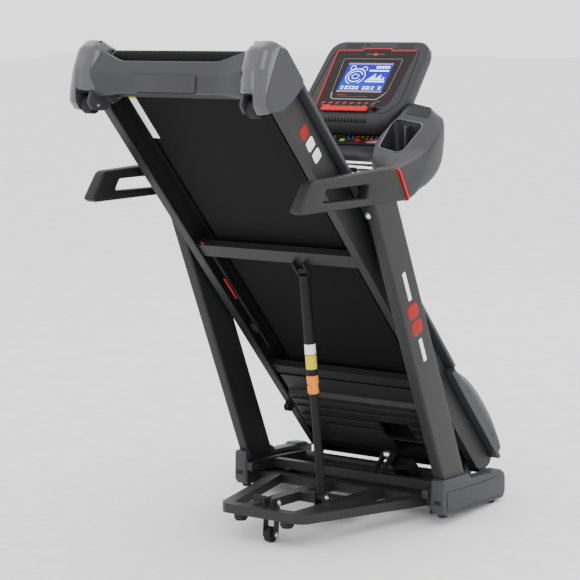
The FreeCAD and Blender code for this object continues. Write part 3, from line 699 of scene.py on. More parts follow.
def tray_low(x, y):
    """The height of the tray's underside."""
    inner, outer = blend_between(TRAY_LOW, y), blend_between(ARM_LOW, y)
    return inner + (outer - inner) * ease(abs(x), 320, 376)


def tray_ring(x, samples=30):
    """One slice of the console body at a distance from the middle."""
    wide = abs(x)
    front, rear = blend_between(TRAY_FRONT, wide), blend_between(TRAY_REAR, wide)
    past = max(0, wide - ROUND_FROM) / (ARM_OUT - ROUND_FROM)
    narrowing = math.sqrt(max(0.0004, 1 - past ** 2))
    top, bottom = [], []
    for k in range(samples + 1):
        t = (1 - math.cos(math.pi * k / samples)) / 2
        y = front + (rear - front) * t
        high, low = tray_top(x, y), tray_low(x, y)
        lean_in = RING_LEAN * ease(wide, 345, 371) * ease(-y, 140, 215)
        middle, half = (high + low) / 2, (high - low) / 2
        open_end = ease(wide, 345, 371) if t < 0.5 else 0
        swell = max(open_end, max(0, 1 - abs(2 * t - 1) ** 7) ** (1 / 3)) * narrowing
        top.append((x, y - lean_in * half * swell, middle + half * swell))
        if 0 < k < samples:
            bottom.append((x, y + lean_in * half * swell, middle - half * swell))
    return top + bottom[::-1]


CUP_FOOT = [(226, -96), (324, -128), (320, 6), (204, 28)]
CUP_RIM = [(220, -106), (331, -140), (326, 10), (190, 34)]
CUP_FLOOR, CUP_TOP = 1122, 1290
CUP_RIB, RIB_TOP = [(248, 24), (262, 21), (268, -14), (262, -16), (256, 10), (248, 17)], 1236
CUP_WASHER = [(31, 0), (31, 3), (27, 4), (26, 1.5), (1, 1.5)]


def cup_outline(side, height):
    """The well's outline at a height; it opens out a little towards its rim."""
    share = (height - CUP_FLOOR) / (CUP_TOP - CUP_FLOOR)
    points = [
        (side * (x + (u - x) * share), y + (v - y) * share)
        for (x, y), (u, v) in zip(CUP_FOOT, CUP_RIM)
    ]
    return rounded(points, [18, 22, 26, 22], 6)


def console_body():
    """The tray and both arms as one shell, with the two wells carved out of it."""
    half = [
        0, 60, 110, 140, 155, 164, 170, 176, 182, 188, 194, 200, 208, 222, 240, 260, 280, 300, 315,
        328, 340, 350, 360, 371, 382, 394, 404, 410, 415, 419, 422, 424.5, 426,
    ]
    stations = [-x for x in reversed(half[1:])] + half
    body = linked("console_body", skin([tray_ring(x) for x in stations], GROUND))
    cutters = []
    for _, side in SIDES:
        heights = [CUP_FLOOR + (CUP_TOP - CUP_FLOOR) * k / 8 for k in range(9)]
        walls = [[(p.x, p.y, height) for p in cup_outline(side, height)] for height in heights]
        cutter = linked("cup_cutter", skin(walls, GROUND))
        carve = body.modifiers.new("cup", "BOOLEAN")
        carve.object, carve.solver = cutter, "EXACT"
        cutters.append(cutter)
    bpy.context.view_layer.update()
    solved = body.evaluated_get(bpy.context.evaluated_depsgraph_get())
    carved = bpy.data.meshes.new_from_object(solved)
    body.modifiers.clear()
    body.data = carved
    for cutter in cutters:
        bpy.data.objects.remove(cutter)
    # The tray and arms take the darker console grey: painted shade.
    finish_piece(body, console_grey_painted_shade, "base", ["console_tray", "console_arms"], 40)


def tube_along(points, radius, where, closed=False):
    """A round bead along a line of points."""
    curve = bpy.data.curves.new("bead", "CURVE")
    curve.dimensions, curve.bevel_depth, curve.bevel_resolution = "3D", radius, 2
    curve.use_fill_caps = not closed
    spline = curve.splines.new("POLY")
    spline.points.add(len(points) - 1)
    for point, spot in zip(spline.points, points):
        point.co = (*spot, 1)
    spline.use_cyclic_u = closed
    drawn = bpy.data.objects.new("bead", curve)
    shape = bmesh.new()
    shape.from_mesh(bpy.data.meshes.new_from_object(drawn))
    bpy.data.objects.remove(drawn)
    return cleaned(shape, where)


def cup_trim():
    """Glossy rims round the wells, the rib that parts each well, and a washer on its floor."""
    rims, ribs = [], []
    for _, side in SIDES:
        rim = []
        for near, far in zip(cup_outline(side, CUP_FLOOR), cup_outline(side, CUP_TOP)):
            level = tray_top(near.x, near.y)
            share = (level - CUP_FLOOR) / (CUP_TOP - CUP_FLOOR)
            spot = near * (1 - share) + far * share
            rim.append((spot.x, spot.y, tray_top(spot.x, spot.y) - 1))
        rims.append(tube_along(rim, 2.6, GROUND, closed=True))
        rib = rounded(mirrored(CUP_RIB, side), 3)
        ribs.append(slab("rib", [rib], CUP_FLOOR - 1, RIB_TOP, 1, GROUND))
        ribs.append(spindle(GROUND, (276 * side, -62, CUP_FLOOR), (0, 0, 1), CUP_WASHER))
    gathered("cup_rims", rims, gloss_shell, "base")
    gathered("cup_ribs", ribs, gloss_shell, "base")


def surface_patch(corners, lift, cells=14):
    """A thin pad that follows the tray's top between four plan corners."""
    a, b, c, d = (Vector(p) for p in corners)
    rings = []
    for height in (-3, lift):
        grid = []
        for i in range(cells + 1):
            for j in range(cells + 1):
                u, v = i / cells, j / cells
                spot = (a * (1 - u) + b * u) * (1 - v) + (d * (1 - u) + c * u) * v
                edge = min(u, 1 - u, v, 1 - v) * cells
                drop = 0 if height < 0 else max(0, 1 - edge) ** 2 * lift * 0.7
                grid.append((spot.x, spot.y, tray_top(spot.x, spot.y) + height - drop))
        rings.append(grid)
    shape = bmesh.new()
    low, high = [[shape.verts.new(p) for p in grid] for grid in rings]
    row = cells + 1
    for i in range(cells):
        for j in range(cells):
            k = i * row + j
            shape.faces.new((high[k], high[k + 1], high[k + row + 1], high[k + row]))
            shape.faces.new((low[k], low[k + row], low[k + row + 1], low[k + 1]))
    border = [i * row for i in range(row)]
    border += [cells * row + j for j in range(1, row)]
    border += [i * row + cells for i in range(cells - 1, -1, -1)]
    border += list(range(cells - 1, 0, -1))
    for k, follow in zip(border, border[1:] + border[:1]):
        shape.faces.new((low[k], low[follow], high[follow], high[k]))
    return cleaned(shape, GROUND)


def pocket_mats():
    """A patterned rubber mat in the shallow pocket ahead of each well."""
    meshes = []
    for _, side in SIDES:
        corners = mirrored([(222, 50), (316, 36), (304, 78), (222, 96)], side)
        meshes.append(surface_patch(corners, 1.8))
    gathered("pocket_mats", meshes, mat_rubber, "base", crease=60)


def keypad():
    """The sloping key panel: overlay, rows of coloured keys, pale raised ends edged in red."""
    lower, upper = 1.5, 6.0
    outline = rounded([(-160, -2), (160, -2), (166, 66), (-166, 66)], 8)
    holes = [
        rounded([(x - 9.4, 11.6), (x + 9.4, 11.6), (x + 9.4, 24.4), (x - 9.4, 24.4)], 1.5, 3)
        for x in (-30, 30)
    ]
    plate(
        "keypad_overlay", [outline, *holes], lower, upper, 0.8, PANEL, overlay, "base", "overlay",
        ["keypad_panel"],
    )
    rows = {"blue": [], "orange": [], "yellow": [], "green": [], "magenta": []}
    order = ("blue", "orange", "yellow", "green", "magenta", "blue")
    for row, rise in enumerate((34, 46)):
        for k in range(12):
            x = -104 + k * 18.5 + row * 4
            key = bar((x - 5.5, x + 5.5), (rise - 3, rise + 3), (upper, upper + 1.4), 0.6, PANEL)
            rows[order[(k + row * 2) % 6]].append(key)
    for word, meshes in rows.items():
        gathered(f"{word}_keys", meshes, KEY_INKS[word], "base")
    labels = []
    for k in range(14):
        x = -116 + k * 18
        labels.append(bar((x - 5, x + 5), (55, 56.6), (upper, upper + 0.3), 0.1, PANEL))
        if abs(abs(x) - 30) > 16:
            labels.append(bar((x - 4, x + 4), (24, 25.4), (upper, upper + 0.3), 0.1, PANEL))
    gathered("key_labels", labels, white_ink, "base")
    ends, edges = [], []
    for _, side in SIDES:
        end = mirrored([(64, 5), (112, 19), (154, 60), (158, 60), (154, 4)], side)
        line = mirrored([(64, 9), (110, 23), (150, 61)], side)
        ends.append(slab("end", [rounded(end, 2)], upper, upper + 2.4, 0.8, PANEL))
        edges.append(ribbon(line, 3, upper, upper + 2.8, PANEL))
    gathered("pale_key_ends", ends, silver_ink, "base")
    gathered("red_key_edges", edges, red_ink, "base")


def pulse_bar():
    """The polished grip rod under the tray, with its dark ends and hangers."""
    rod_y, rod_z, radius = 36, 1093, 16
    profile = [
        (radius - 3, -250), (radius, -247), (radius, -60), (radius - 0.8, -57), (radius - 0.8, -50),
        (radius, -47),
    ]
    bars = spindle(GROUND, (0, rod_y, rod_z), (1, 0, 0), both_ways(profile))
    gathered("pulse_grips", [bars], polished, "base", ["pulse_bar"])
    sleeve = [(radius + 2, -10), (radius + 3, -6), (radius + 3, 24), (radius, 30)]
    meshes = []
    for _, side in SIDES:
        meshes.append(spindle(GROUND, (side * 248, rod_y, rod_z), (side, 0, 0), sleeve))
        hanger = across_span(side, 238, 252), (rod_y - 7, rod_y + 7), (rod_z + 8, 1118)
        meshes.append(bar(*hanger, 2, GROUND))
    gathered("pulse_end_caps", meshes, black_plastic, "base")


# ---------------------------------------------------------------- console head

HEAD_SLICES = [
    (4.0, 9, 208, -84), (3.2, 4, 211, -92), (0, 0.8, 213.6, -102), (-5, 0, 214, -113),
    (-14, 0, 214, -125), (-26, 0, 214, -133), (-38, 5, 209, -137), (-48, 16, 194, -132),
    (-56, 34, 166, -118), (-61, 60, 120, -92),
]
PLATE_PLAN = [
    (-156, 172), (-60, 172), (-52, 180), (52, 180), (60, 172), (156, 172), (143, -30), (104, -80),
    (-143, -80),
]
PLATE_LOW, PLATE_HIGH = 2.6, 4.6
HEAD_SEAM = [(163, 176), (170, 150), (180, 0), (176, -40), (150, -72), (118, -84)]
SEAM_BENDS = [0, 8, 20, 20, 14, 0]


def head_ring(height, inset, top, bottom):
    """The console head's outline at one depth behind its face."""
    wide = 195 - inset
    outline = [
        (-wide, top), (wide, top), (wide + 11, -30), (wide - 48, bottom), (-wide + 48, bottom),
        (-wide - 11, -30),
    ]
    ring = rounded(outline, [58, 58, 90, 60, 60, 90], 9)
    return [(p.x, p.y, height) for p in ring]


def console_head():
    """The display housing: its shell and light sensor, with pieces of painted shade for its seams, chin vents and
    speaker slots.
    """
    mesh = skin([head_ring(*part) for part in HEAD_SLICES], FACE)
    piece = linked("console_head", mesh)
    # The head takes the darker console grey: painted shade.
    finish_piece(piece, console_grey_painted_shade, "base", ["console_shell"], 50)
    # The seams are near-black strips on the shell: painted shade.
    seams = []
    for _, side in SIDES:
        line = rounded(mirrored(HEAD_SEAM, side), SEAM_BENDS)
        seams.append(ribbon(line, 4.5, 3.6, 4.25, FACE))
    gathered("head_seam_shade", seams, groove_painted_shade, "base")
    # The chin vents are near-black slabs: painted shade in place of open slots.
    chin = []
    for x in range(-104, 78, 13):
        slot = rounded([(x, -92), (x + 4.5, -92), (x + 9, -114), (x + 4.5, -114)], 1.5, 2)
        chin.append(slab("slot", [slot], -9, 1.2, 0.4, FACE))
    gathered("chin_vent_shade", chin, groove_painted_shade, "base")
    # The speaker slots are near-black slabs on the face: painted shade.
    louvres = []
    for start in (-137, 67):
        for row in range(4):
            for k in range(7):
                x, y = start + k * 9.5 + row * 2, 183 + row * 5.2
                slot = rounded([(x, y), (x + 6, y), (x + 7.5, y + 3), (x + 1.5, y + 3)], 1, 2)
                louvres.append(slab("louvre", [slot], 3.5, 4.3, 0.2, FACE))
    gathered("speaker_slot_shade", louvres, groove_painted_shade, "base")
    eye = rounded([(-58, 193), (-40, 193), (-38, 201), (-56, 201)], 2)
    sensor = slab("sensor", [eye], 3.5, 4.6, 0.3, FACE)
    gathered("light_sensor", [sensor], black_plastic, "base")


FRAME_LINE = [(-117, 139), (117, 139), (112, 4), (84, -28), (-97, -28), (-104, -10)]
FACE_BARS = [
    ((-36, -14), (156, 159.5)), ((14, 36), (156, 159.5)), ((-78, 44), (-17, -15.4)),
    ((84, 102), (-36, -33)), ((78, 132), (-58, -56.6)),
]
LEDGE_PLAN = [
    (-112, -80), (72, -80), (70, -62), (56, -58), (50, -61), (-78, -61), (-84, -57), (-108, -58),
]


def face_overlay():
    """The printed plate round the display, its red edge, its marks and the tablet ledge."""
    outline = rounded(PLATE_PLAN, [4, 1, 1, 1, 1, 4, 50, 40, 12])
    window = rounded([(-89, 2), (89, 2), (89, 122), (-89, 122)], 5)
    turns = [math.tau * k / 24 for k in range(24)]
    key_hole = [(95 + 9 * math.cos(turn), -66 + 9 * math.sin(turn)) for turn in turns]
    plate(
        "face_overlay", [outline, window, key_hole], PLATE_LOW, PLATE_HIGH, 0.5, FACE, overlay,
        "base", "overlay", ["face_plate"],
    )
    top = [(-143, -56), (-157, 173), (-60, 173), (-52, 181), (52, 181), (60, 173), (156, 173)]
    edge = ribbon(top, 3.2, 3.8, PLATE_HIGH + 0.8, FACE)
    gathered("red_face_edge", [edge], red_ink, "base")
    ink = (PLATE_HIGH, PLATE_HIGH + 0.25)
    loop = ribbon(rounded(FRAME_LINE, [8, 8, 18, 18, 16, 16]), 1.2, *ink, FACE, True)
    foot_line = rounded([(-103, 0), (-98, -27), (84, -27), (108, 0)], [0, 14, 18, 0])
    foot = ribbon(foot_line, 3.4, ink[0], ink[1] + 0.1, FACE)
    gathered("silver_frame_line", [loop, foot], silver_ink, "base")
    whites, reds = [], []
    for k in range(8):
        x = -122 + k * 28.5
        mark = rounded([(x - 6, -47), (x + 5, -47), (x + 7, -41), (x - 4, -41)], 2, 2)
        whites.append(slab("mark", [mark], *ink, 0.1, FACE))
        whites.append(bar((x - 9, x + 9), (-52.5, -51), ink, 0.1, FACE))
        reds.append(bar((x + 3, x + 10), (-44, -39), (ink[0], ink[1] + 0.1), 0.1, FACE))
    whites += [bar(x, y, ink, 0.1, FACE) for x, y in FACE_BARS]
    reds.append(bar((-78, -42), (-11, -9), ink, 0.1, FACE))
    reds.append(bar((-10, 10), (153, 162.5), ink, 3, FACE))
    gathered("white_face_marks", whites, dim_ink, "base")
    gathered("red_face_marks", reds, red_ink, "base")
    ledge = rounded(LEDGE_PLAN, [7, 7, 5, 3, 3, 3, 3, 5])
    plate(
        "red_tablet_ledge", [ledge], 4.6, 14, 2.6, FACE, red_ink, "base", "red_plastic",
        ["tablet_ledge"],
    )


def arc(middle, radius, start, end, width, high, squash=1.0):
    """Part of an oval line on the face."""
    steps = 18
    angles = [math.radians(start + (end - start) * k / steps) for k in range(steps + 1)]
    line = [
        (middle[0] + radius * math.cos(a), middle[1] + radius * squash * math.sin(a))
        for a in angles
    ]
    return ribbon(line, width, *high, FACE)


SCREEN_BLOCKS = [
    (-78, 9), (-62, 12), (-46, 8), (-34, 12), (-18, 9), (8, 10), (22, 14), (44, 8), (70, 10),
]


def display_glass():
    """The lit screen with a plain track oval, blocks and bars."""
    glass = rounded([(-89, 1), (89, 1), (89, 123), (-89, 123)], 5)
    plate("display_glass", [glass], -4, 4.35, 0.2, FACE, display, "base", "display", ["screen"])
    high = (4.35, 4.55)
    shapes = [
        arc((-40, 66), 37, -60, 250, 2.2, high, 0.86), arc((-40, 66), 27, 20, 330, 2.6, high, 0.8),
        arc((-40, 66), 13, 0, 355, 2, high, 0.7), arc((-64, 102), 9, 0, 355, 1.6, high),
        arc((-16, 96), 10, -40, 200, 1.6, high),
    ]
    for x, wide in SCREEN_BLOCKS:
        for rise in (14, 22):
            shapes.append(bar((x, x + wide), (rise, rise + 4), high, 0.4, FACE))
    for y in (44, 88):
        shapes.append(bar((6, 82), (y, y + 5), high, 0.5, FACE))
    for k in range(9):
        left, top = 10 + k * 7.6, 56 + (k * 5 % 17) * 1.4
        shapes.append(bar((left, left + 5), (52, top), high, 0.3, FACE))
    for k in range(5):
        shapes.append(bar((28 + k * 11, 35 + k * 11), (100, 110), high, 0.5, FACE))
    gathered("screen_graphics", shapes, screen_white, "base")
    borders = [bar((-89, 89), (115, 122), high, 0.1, FACE), bar((-89, 89), (2, 9), high, 0.1, FACE)]
    gathered("screen_borders", borders, silver_ink, "base")


# ---------------------------------------------------------------- rear caps, rear cover and wheels

CAP_SIDE = [
    (-1655, -17), (-1692, -78), (-1724, -76), (-1752, -54), (-1800, 0), (-1826, 55), (-1816, 100),
    (-1776, 121), (-1652, 121), (-1640, 96), (-1640, 40),
]
CAP_BENDS = [20, 14, 10, 20, 60, 40, 20, 20, 3, 3, 60]
PLATE_BENDS = [14, 4, 4, 10, 24, 16, 8, 8, 2, 2, 40]
CAP_PLATE = [
    (-1655, -17), (-1690, -66), (-1720, -64), (-1742, -38), (-1764, 12), (-1782, 56), (-1794, 92),
    (-1768, 111), (-1654, 111), (-1643, 92), (-1643, 40),
]
CAP_FENDER = [
    (-1655, -12), (-1708, -14), (-1728, -38), (-1752, -52), (-1800, 0), (-1826, 55), (-1816, 100),
    (-1776, 121), (-1652, 121), (-1640, 96), (-1640, 40),
]
CAP_THROAT = [
    (-1655, -12), (-1704, -12), (-1722, -26), (-1738, -34), (-1778, 6), (-1800, 56), (-1794, 88),
    (-1766, 108), (-1654, 109), (-1643, 92), (-1643, 40),
]
CAP_OUT, CAP_ROUND = 372, 36
THROAT_ROUND = [
    (334, 0), (322, 0), (308, 0.02), (298, 0.08), (290, 0.18), (283, 0.34), (277, 0.56), (272, 0.8),
    (269, 1),
]
CAP_WALL = [
    (-1648, 30), (-1648, 108), (-1766, 106), (-1792, 88), (-1799, 56), (-1780, 14), (-1700, 4),
]
CAP_WINDOW = [(-1786, 50), (-1782, 88), (-1764, 98), (-1706, 98), (-1706, 42), (-1776, 30)]
CAP_SLOT = [(6.5, -12), (7.5, -3.6), (6, -2.2), (4, -2.4)]
WHEEL_LOBE = [(-1640, -8), (-1728, -14), (-1742, -42), (-1726, -74), (-1698, -78), (-1664, -48)]
WHEEL_BACK, WHEEL_LOW = 1690, -50


def cap_ring(x, start, end, share):
    """The cap's outline at one distance out, part of the way from one shape to another."""
    points = [Vector(p) * (1 - share) + Vector(q) * share for p, q in zip(start, end)]
    first = PLATE_BENDS if start is CAP_PLATE else CAP_BENDS
    bends = [a * (1 - share) + b * share for a, b in zip(first, CAP_BENDS)]
    return [(x, p.x, p.y) for p in rounded(points, bends, 6)]


def bulge(share):
    """A quarter circle's rise over its run."""
    return math.sqrt(max(0, 1 - (1 - share) ** 2))


def rear_caps():
    """Fender-like caps: a flat outer plate, a polished convex band, and a lobe by each wheel."""
    for word, side in SIDES:
        face = [cap_ring(side * x, CAP_PLATE, CAP_SIDE, 0) for x in (CAP_OUT, CAP_OUT - 3)]
        gathered(
            f"{word}_cap_side", [skin(face, DECK)], grey_shell, "deck",
            [f"{word}_end_cap"], crease=28,
        )
        band = [
            cap_ring(side * (CAP_OUT - 1 - CAP_ROUND * k / 9), CAP_PLATE, CAP_SIDE, bulge(k / 9))
            for k in range(10)
        ]
        band += [cap_ring(side * x, CAP_FENDER, CAP_THROAT, share) for x, share in THROAT_ROUND]
        gathered(
            f"{word}_cap_band", [skin(band, DECK)], gloss_shell, "deck", crease=40
        )
        wall = rounded(CAP_WALL, [2, 4, 14, 16, 30, 16, 16])
        window = rounded(CAP_WINDOW, [10, 10, 8, 6, 6, 8])
        plate(
            f"{word}_cap_wall", [wall, window], *across_span(side, 262, 271), 2, DECK_SIDE,
            grey_shell, "deck", "grey_plastic",
        )
        lobe = rounded(WHEEL_LOBE, [6, 8, 12, 12, 14, 20], 5)
        cheek = slab("cheek", [lobe], *across_span(side, 284, 293.5), 2, DECK_SIDE)
        gathered(f"{word}_wheel_cheek", [cheek], grey_shell, "deck")
        # The cap's slots are near-black plugs: painted shade.
        slots = []
        for back, rise in ((1813, 36), (1822, 64), (1817, 93)):
            out = Vector((0, -1, (rise - 62) / 110)).normalized()
            slots.append(spindle(DECK, (side * 296, -back, rise), out, CAP_SLOT))
        gathered(f"{word}_cap_slot_shade", slots, groove_painted_shade, "deck")
        heads = [bolt_head(DECK, (side * 284, -WHEEL_BACK, WHEEL_LOW), (-side, 0, 0), 5, 2)]
        heads.append(bolt_head(DECK, (side * 264, -1752, 78), (-side, 0, 0), 8, 5))
        heads.append(bolt_head(DECK, (side * 276, -1776, 62), (0, -1, 0), 6, 14))
        gathered(f"{word}_cap_bolts", heads, bright, "deck")
        block = bar(across_span(side, 262, 286), (-1772, -1716), (56, 96), 4, DECK)
        gathered(f"{word}_roller_block", [block], black_plastic, "deck")


COVER_HALF, FLARE_FROM, FLARE_TO = 286, 168, 284


def cover_ring(x):
    """The rear cover's section: a top lip, an upper face, a lower face and the return behind it."""
    flare = ease(abs(x), FLARE_FROM, FLARE_TO)
    step = 6 * (1 - flare)
    side = [
        (-1790 - 12 * flare, 36 + 30 * flare), (-1797 - 10 * flare, 27 + 30 * flare),
        (-1770 - 20 * flare, -4 - 4 * flare),
        (-1762 - 8 * flare + step * 0.4, -12 - 10 * flare + step * 0.6),
        (-1724 - 10 * flare, -26 - 16 * flare), (-1710 - 4 * flare, -21 - 18 * flare), (-1718, -10),
        (-1742, -6), (-1782 - 8 * flare, 34 + 24 * flare),
    ]
    return [(x, p.x, p.y) for p in rounded(side, [2.5, 5, 7, 3, 7, 4, 3, 10, 2], 4)]


def rear_cover():
    """The textured cover across the rear roller, flared into the caps, with its raised grip."""
    stations = [-COVER_HALF + 2 * COVER_HALF * k / 56 for k in range(57)]
    shell = skin([cover_ring(x) for x in stations], DECK)
    gathered(
        "rear_cover_shell", [shell], grey_shell, "deck", ["rear_cover"], crease=30
    )
    slope = (DECK.to_3x3() @ Vector((0, -46, 22))).normalized()
    turn = place(DECK @ Vector((0, -1724, -27.6)), ACROSS, slope)
    grip = rounded([(-124, 2), (96, 2), (112, 54), (-142, 54)], [8, 8, 8, 8])
    plate("rear_grip", [grip], -9, 4, 2.4, turn, grey_shell, "deck", "grey_plastic")
    # The grip's groove is a near-black strip: painted shade.
    groove_plan = rounded([(-122, -2), (94, -2), (96, 2.6), (-124, 2.6)], 1)
    groove = slab("groove", [groove_plan], -6, 2, 0.3, turn)
    gathered("grip_groove_shade", [groove], groove_painted_shade, "deck")


HALF_TYRE = [(5.1, -18), (12, -18), (13, -14), (23, -14), (25, -18), (27, -15)]
HALF_TREAD = [(5.1, -12), (9, -12), (11, -8), (20, -8), (22, -11), (25, -9)]


def both_ways(profile):
    """A turned profile and its mirror image."""
    return profile + [(radius, -height) for radius, height in reversed(profile)]


def wheels():
    """Tyres of the two rear transport wheels and the caster."""
    for word, side in SIDES:
        mesh = spindle(DECK, (side * 315, -WHEEL_BACK, WHEEL_LOW), (1, 0, 0), both_ways(HALF_TYRE))
        gathered(
            f"{word}_transport_wheel", [mesh], pad_rubber, f"{word}_rear_wheel",
            [f"{word}_rear_wheel"],
        )
    mesh = spindle(GROUND, (0, -360, -40), (1, 0, 0), both_ways(HALF_TREAD))
    gathered("caster_tread", [mesh], pad_rubber, "caster_wheel", ["caster_wheel"])


# ---------------------------------------------------------------- motor hood

HOOD_TOP = [
    (-419, 114), (-385, 122), (-350, 140), (-318, 162), (-270, 180), (-200, 190), (-130, 192),
    (-70, 187), (-30, 174), (0, 150), (14, 122), (20, 98),
]

HOOD_SCREW = [(4, -2), (4, 1.2), (2, 1.4), (1.6, 0.4)]
HOOD_FOOT, HOOD_HALF, HOOD_CROWN, HOOD_SHOULDER = 90, 370, 322, 0.36


def motor_hood():
    """The domed hood over the motor, its skirts and its screws."""
    rings = []
    stations = [
        -419, -412, -400, -385, -365, -345, -320, -290, -250, -200, -150, -110, -70, -40, -20, -5,
        6, 13, 18, 20,
    ]
    for along in stations:
        crown = blend_between(HOOD_TOP, along) - HOOD_FOOT
        shoulder = HOOD_SHOULDER * crown
        shape = [
            (HOOD_HALF, 0), (HOOD_HALF, shoulder), (HOOD_CROWN, crown),
            (-HOOD_CROWN, crown), (-HOOD_HALF, shoulder), (-HOOD_HALF, 0),
        ]
        tuck = 30 * ease(along, -8, 20) ** 2
        shape = [((abs(x) - tuck) * (1 if x > 0 else -1), z) for x, z in shape]
        ring = rounded(shape, [0, 60, 90, 90, 60, 0], 7)
        rings.append([(p.x, along, HOOD_FOOT + p.y) for p in ring])
    gathered(
        "motor_hood_shell", [skin(rings, DECK)], grey_shell, "deck", ["motor_hood"],
        crease=50,
    )
    for word, side in SIDES:
        skirt = [(-419, 76), (-419, 92), (14, 92), (18, 84), (10, 76)]
        plate(
            f"{word}_hood_skirt", [rounded(skirt, [2, 2, 6, 6, 6])], *across_span(side, 340, 371),
            2, DECK_SIDE, grey_shell, "deck", "grey_plastic",
        )
        screws = [
            spindle(DECK, (side * 369.5, along, 104), (side, 0, 0), HOOD_SCREW)
            for along in (-300, -80)
        ]
        gathered(f"{word}_hood_screws", screws, black_plastic, "deck")


# ---------------------------------------------------------------- deck details


def belly_pan():
    """The folded sheet under the motor, with its cross ribs and the jack's window."""
    sheet = [
        (-402, 4), (-330, 4), (-318, -8), (-153, -10), (-120, 4), (-60, 4), (-60, 6.5),
        (-120.6, 6.5), (-153.6, -7.5), (-317, -5.5), (-329, 6.5), (-402, 6.5),
    ]
    beyond = [
        (-402, 4), (-330, 4), (-318, -8), (-226, -9), (-226, -6.5), (-317, -5.5), (-329, 6.5),
        (-402, 6.5),
    ]
    spans = ((-290, 40, sheet), (40, 160, beyond), (160, 290, sheet))
    meshes = [slab("sheet", [side], low, high, 0.1, DECK_SIDE) for low, high, side in spans]
    for low, high in ((-300, -280), (-262, -248)):
        meshes.append(bar((-286, 286), (low, high), (-13, -7), 1.5, DECK))
    for start, end in ((-286, 36), (164, 286)):
        meshes += [bar((start, end), (low, low + 14), (-14, -8), 1.5, DECK) for low in (-216, -176)]
    gathered("belly_sheet", meshes, paint, "deck", ["belly_pan"])


def deck_trim():
    """Labels, strips of painted shade for grooves, plain marks, inner strips, the cable rod and the rail ledges.
    """
    # The rail grooves are near-black strips: painted shade.
    grooves = []
    for _, side in SIDES:
        grooves.append(bar(across_span(side, 338.5, 339.2), (-1640, -425), (89.5, 98.5), 0.2, DECK))
    gathered("rail_groove_shade", grooves, groove_painted_shade, "deck")
    for word, ink, low, high in (
        ("yellow", yellow_ink, -1649, -1628), ("white", white_ink, -1627, -1462),
    ):
        label = bar((-262, -235), (low, high), (46.4, 47.4), 0.2, DECK)
        gathered(f"rail_label_{word}", [label], ink, "deck")
    for word, side in SIDES:
        face = across_span(side, 338.4, 339.0)
        for ink, kind, slot, marks in (
            (deep_red, "bar", "red_plastic", ((1490, 1526),)),
            (white_ink, "bars", "frame_paint", ((1446, 1480), (1400, 1434))),
        ):
            meshes = []
            for start, end in marks:
                mark = rounded([(-start, 24), (-end, 28), (-end, 66), (-start, 62)], 8)
                meshes.append(slab("mark", [mark], *face, 0.2, DECK_SIDE))
            gathered(f"{word}_rail_{kind}", meshes, ink, "deck")
    strips = [
        bar((-288, -280), (-start - long, -start), (10, 12), 0.6, DECK)
        for start, long in ((1010, 26), (770, 96))
    ]
    gathered("red_inner_strips", strips, deep_red, "deck")
    rod = [
        bar((-294, -284), (-1000, -520), (24, 34), 2, DECK),
        bar((-302, -278), (-640, -600), (14, 34), 3, DECK),
    ]
    gathered("cable_rod", rod, black_plastic, "deck")
    ledges = [
        bar(across_span(side, 306, 311), (-1640, -130), (0.6, 5), 1, DECK) for _, side in SIDES
    ]
    gathered("rail_ledges", ledges, paint, "deck")


STRUT_RADIUS = 17.5


def strut_trim():
    """The labels and the orange lock collar on the lift strut's upper tube."""
    for name, ink, low, high in (
        ("strut_yellow_label", yellow_ink, 424, 470), ("strut_white_label", white_ink, 472, 505),
    ):
        sleeve = [
            (STRUT_RADIUS - 1, low), (STRUT_RADIUS + 0.25, low + 0.2),
            (STRUT_RADIUS + 0.25, high - 0.2), (STRUT_RADIUS - 1, high),
        ]
        mesh = turned(sleeve, STRUT_UP)
        gathered(name, [mesh], ink, "strut_upper")
    collar = [
        (13.5, 344), (16, 344), (18.2, 348), (18.2, 354), (16.6, 357), (16.6, 374), (18.6, 377),
        (18.6, 398), (17.6, 402), (17.4, 404), (13.5, 404),
    ]
    gathered(
        "strut_lock_collar", [turned(collar, STRUT_UP)], orange_cap, "strut_upper",
        ["strut_collar"],
    )
    tab = bar((-6, 6), (-24, -15), (352, 372), 2, STRUT_UP)
    gathered("strut_lock_tab", [tab], orange_cap, "strut_upper")


def frame_bolts():
    """Domed heads at the strut's foot, on the uprights and on the caster lever."""
    heads = [bolt_head(GROUND, (x, -204, 62), (out, 0, 0), 8, 6) for x, out in ((103, 1), (67, -1))]
    heads += [bolt_head(GROUND, (side * 372, -352, 985), (-side, 0, 0), 7, 4) for _, side in SIDES]
    upright_rear = (0, -math.cos(LEAN), -math.sin(LEAN))
    heads += [bolt_head(GROUND, (side * 380, -377.5, 985), upright_rear, 8, 6) for _, side in SIDES]
    gathered("frame_bolts", heads, bright, "base", ["upright_bolts"])
    pins = [
        bolt_head(GROUND, (x, y, z), (math.copysign(1, x), 0, 0), radius, 5)
        for y, z, radius, ends in ((-352, 62, 7, (27.5, -22.5)), (-360, -40, 6, (22.5, -22.5)))
        for x in ends
    ]
    gathered("caster_bolts", pins, bright, "caster")


uprights()
shoes()
handrails()
console_body()
cup_trim()
pocket_mats()
keypad()
pulse_bar()
console_head()
face_overlay()
display_glass()
rear_caps()
rear_cover()
wheels()
motor_hood()
belly_pan()
deck_trim()
strut_trim()
frame_bolts()

# ---------------------------------------------------------------- stage, lights and camera


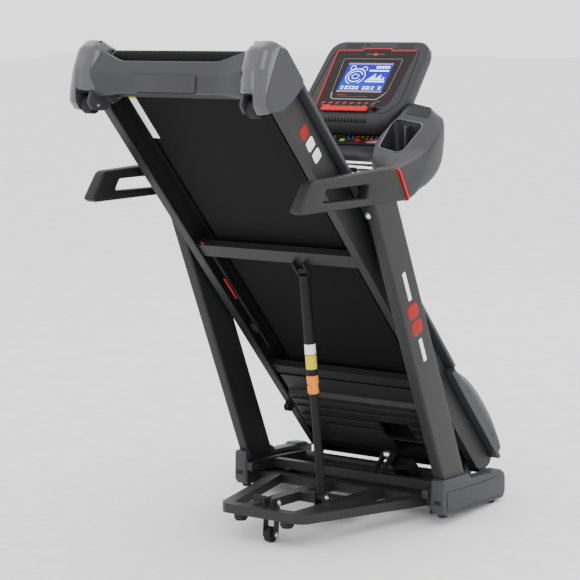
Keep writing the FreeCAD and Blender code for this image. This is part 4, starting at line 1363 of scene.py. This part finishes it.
def studio():
    """A pale floor under the caster and the front pads, a soft white room and the camera."""
    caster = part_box("caster_wheel")
    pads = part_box("rubber_pads")
    caster_foot = Vector((0, (caster[0].y + caster[1].y) / 2, caster[0].z))
    front_foot = Vector((0, pads[1].y, pads[0].z))
    rise = front_foot - caster_foot
    tilt = math.atan2(rise.z, rise.y)
    floor_mesh = bpy.data.meshes.new("floor")
    reach = 14
    corners = [(-reach, -reach, 0), (reach, -reach, 0), (reach, reach, 0), (-reach, reach, 0)]
    floor_mesh.from_pydata(corners, [], [(0, 1, 2, 3)])
    floor = linked("floor", floor_mesh)
    floor.location = caster_foot - UP * 0.0005
    floor.rotation_euler = (tilt, 0, 0)
    floor_mesh.materials.append(moulded("pale_floor", (0.93, 0.93, 0.93), 0.95, 30, 0.00001))

    world = bpy.data.worlds.new("room")
    world.use_nodes = True
    world.node_tree.nodes["Background"].inputs["Color"].default_value = (1, 1, 1, 1)
    world.node_tree.nodes["Background"].inputs["Strength"].default_value = 1.9
    bpy.context.scene.world = world

    middle = (CAD_BOX[0] + CAD_BOX[1]) / 2
    for name, offset, width, power in (
        ("key_light", (2.2, -2.6, 3.4), 2.4, 42),
        ("side_light", (3.4, 1.2, 1.6), 2.0, 24),
        ("fill_light", (-3.4, -2.4, 1.6), 2.6, 10),
        ("back_light", (-1.2, 3.2, 3.0), 2.2, 24),
    ):
        lamp = bpy.data.lights.new(name, "AREA")
        lamp.size, lamp.energy = width, power
        light = bpy.data.objects.new(name, lamp)
        light.location = middle + Vector(offset)
        light.rotation_euler = Vector(offset).to_track_quat("Z", "Y").to_euler()
        bpy.context.scene.collection.objects.link(light)

    azimuth, pitch, distance = math.radians(37.21), math.radians(6.89), 6.698
    look = Vector((
        -math.sin(azimuth) * math.cos(pitch), math.cos(azimuth) * math.cos(pitch), -math.sin(pitch)
    ))
    aim = middle + Vector((0, -0.047, 0.004))
    lens = bpy.data.cameras.new("camera")
    lens.sensor_width, lens.lens = 36, 132.36
    camera = bpy.data.objects.new("camera", lens)
    camera.location = aim - look * distance
    camera.rotation_euler = (math.pi / 2 - pitch, 0, azimuth)
    bpy.context.scene.collection.objects.link(camera)
    bpy.context.scene.camera = camera


studio()
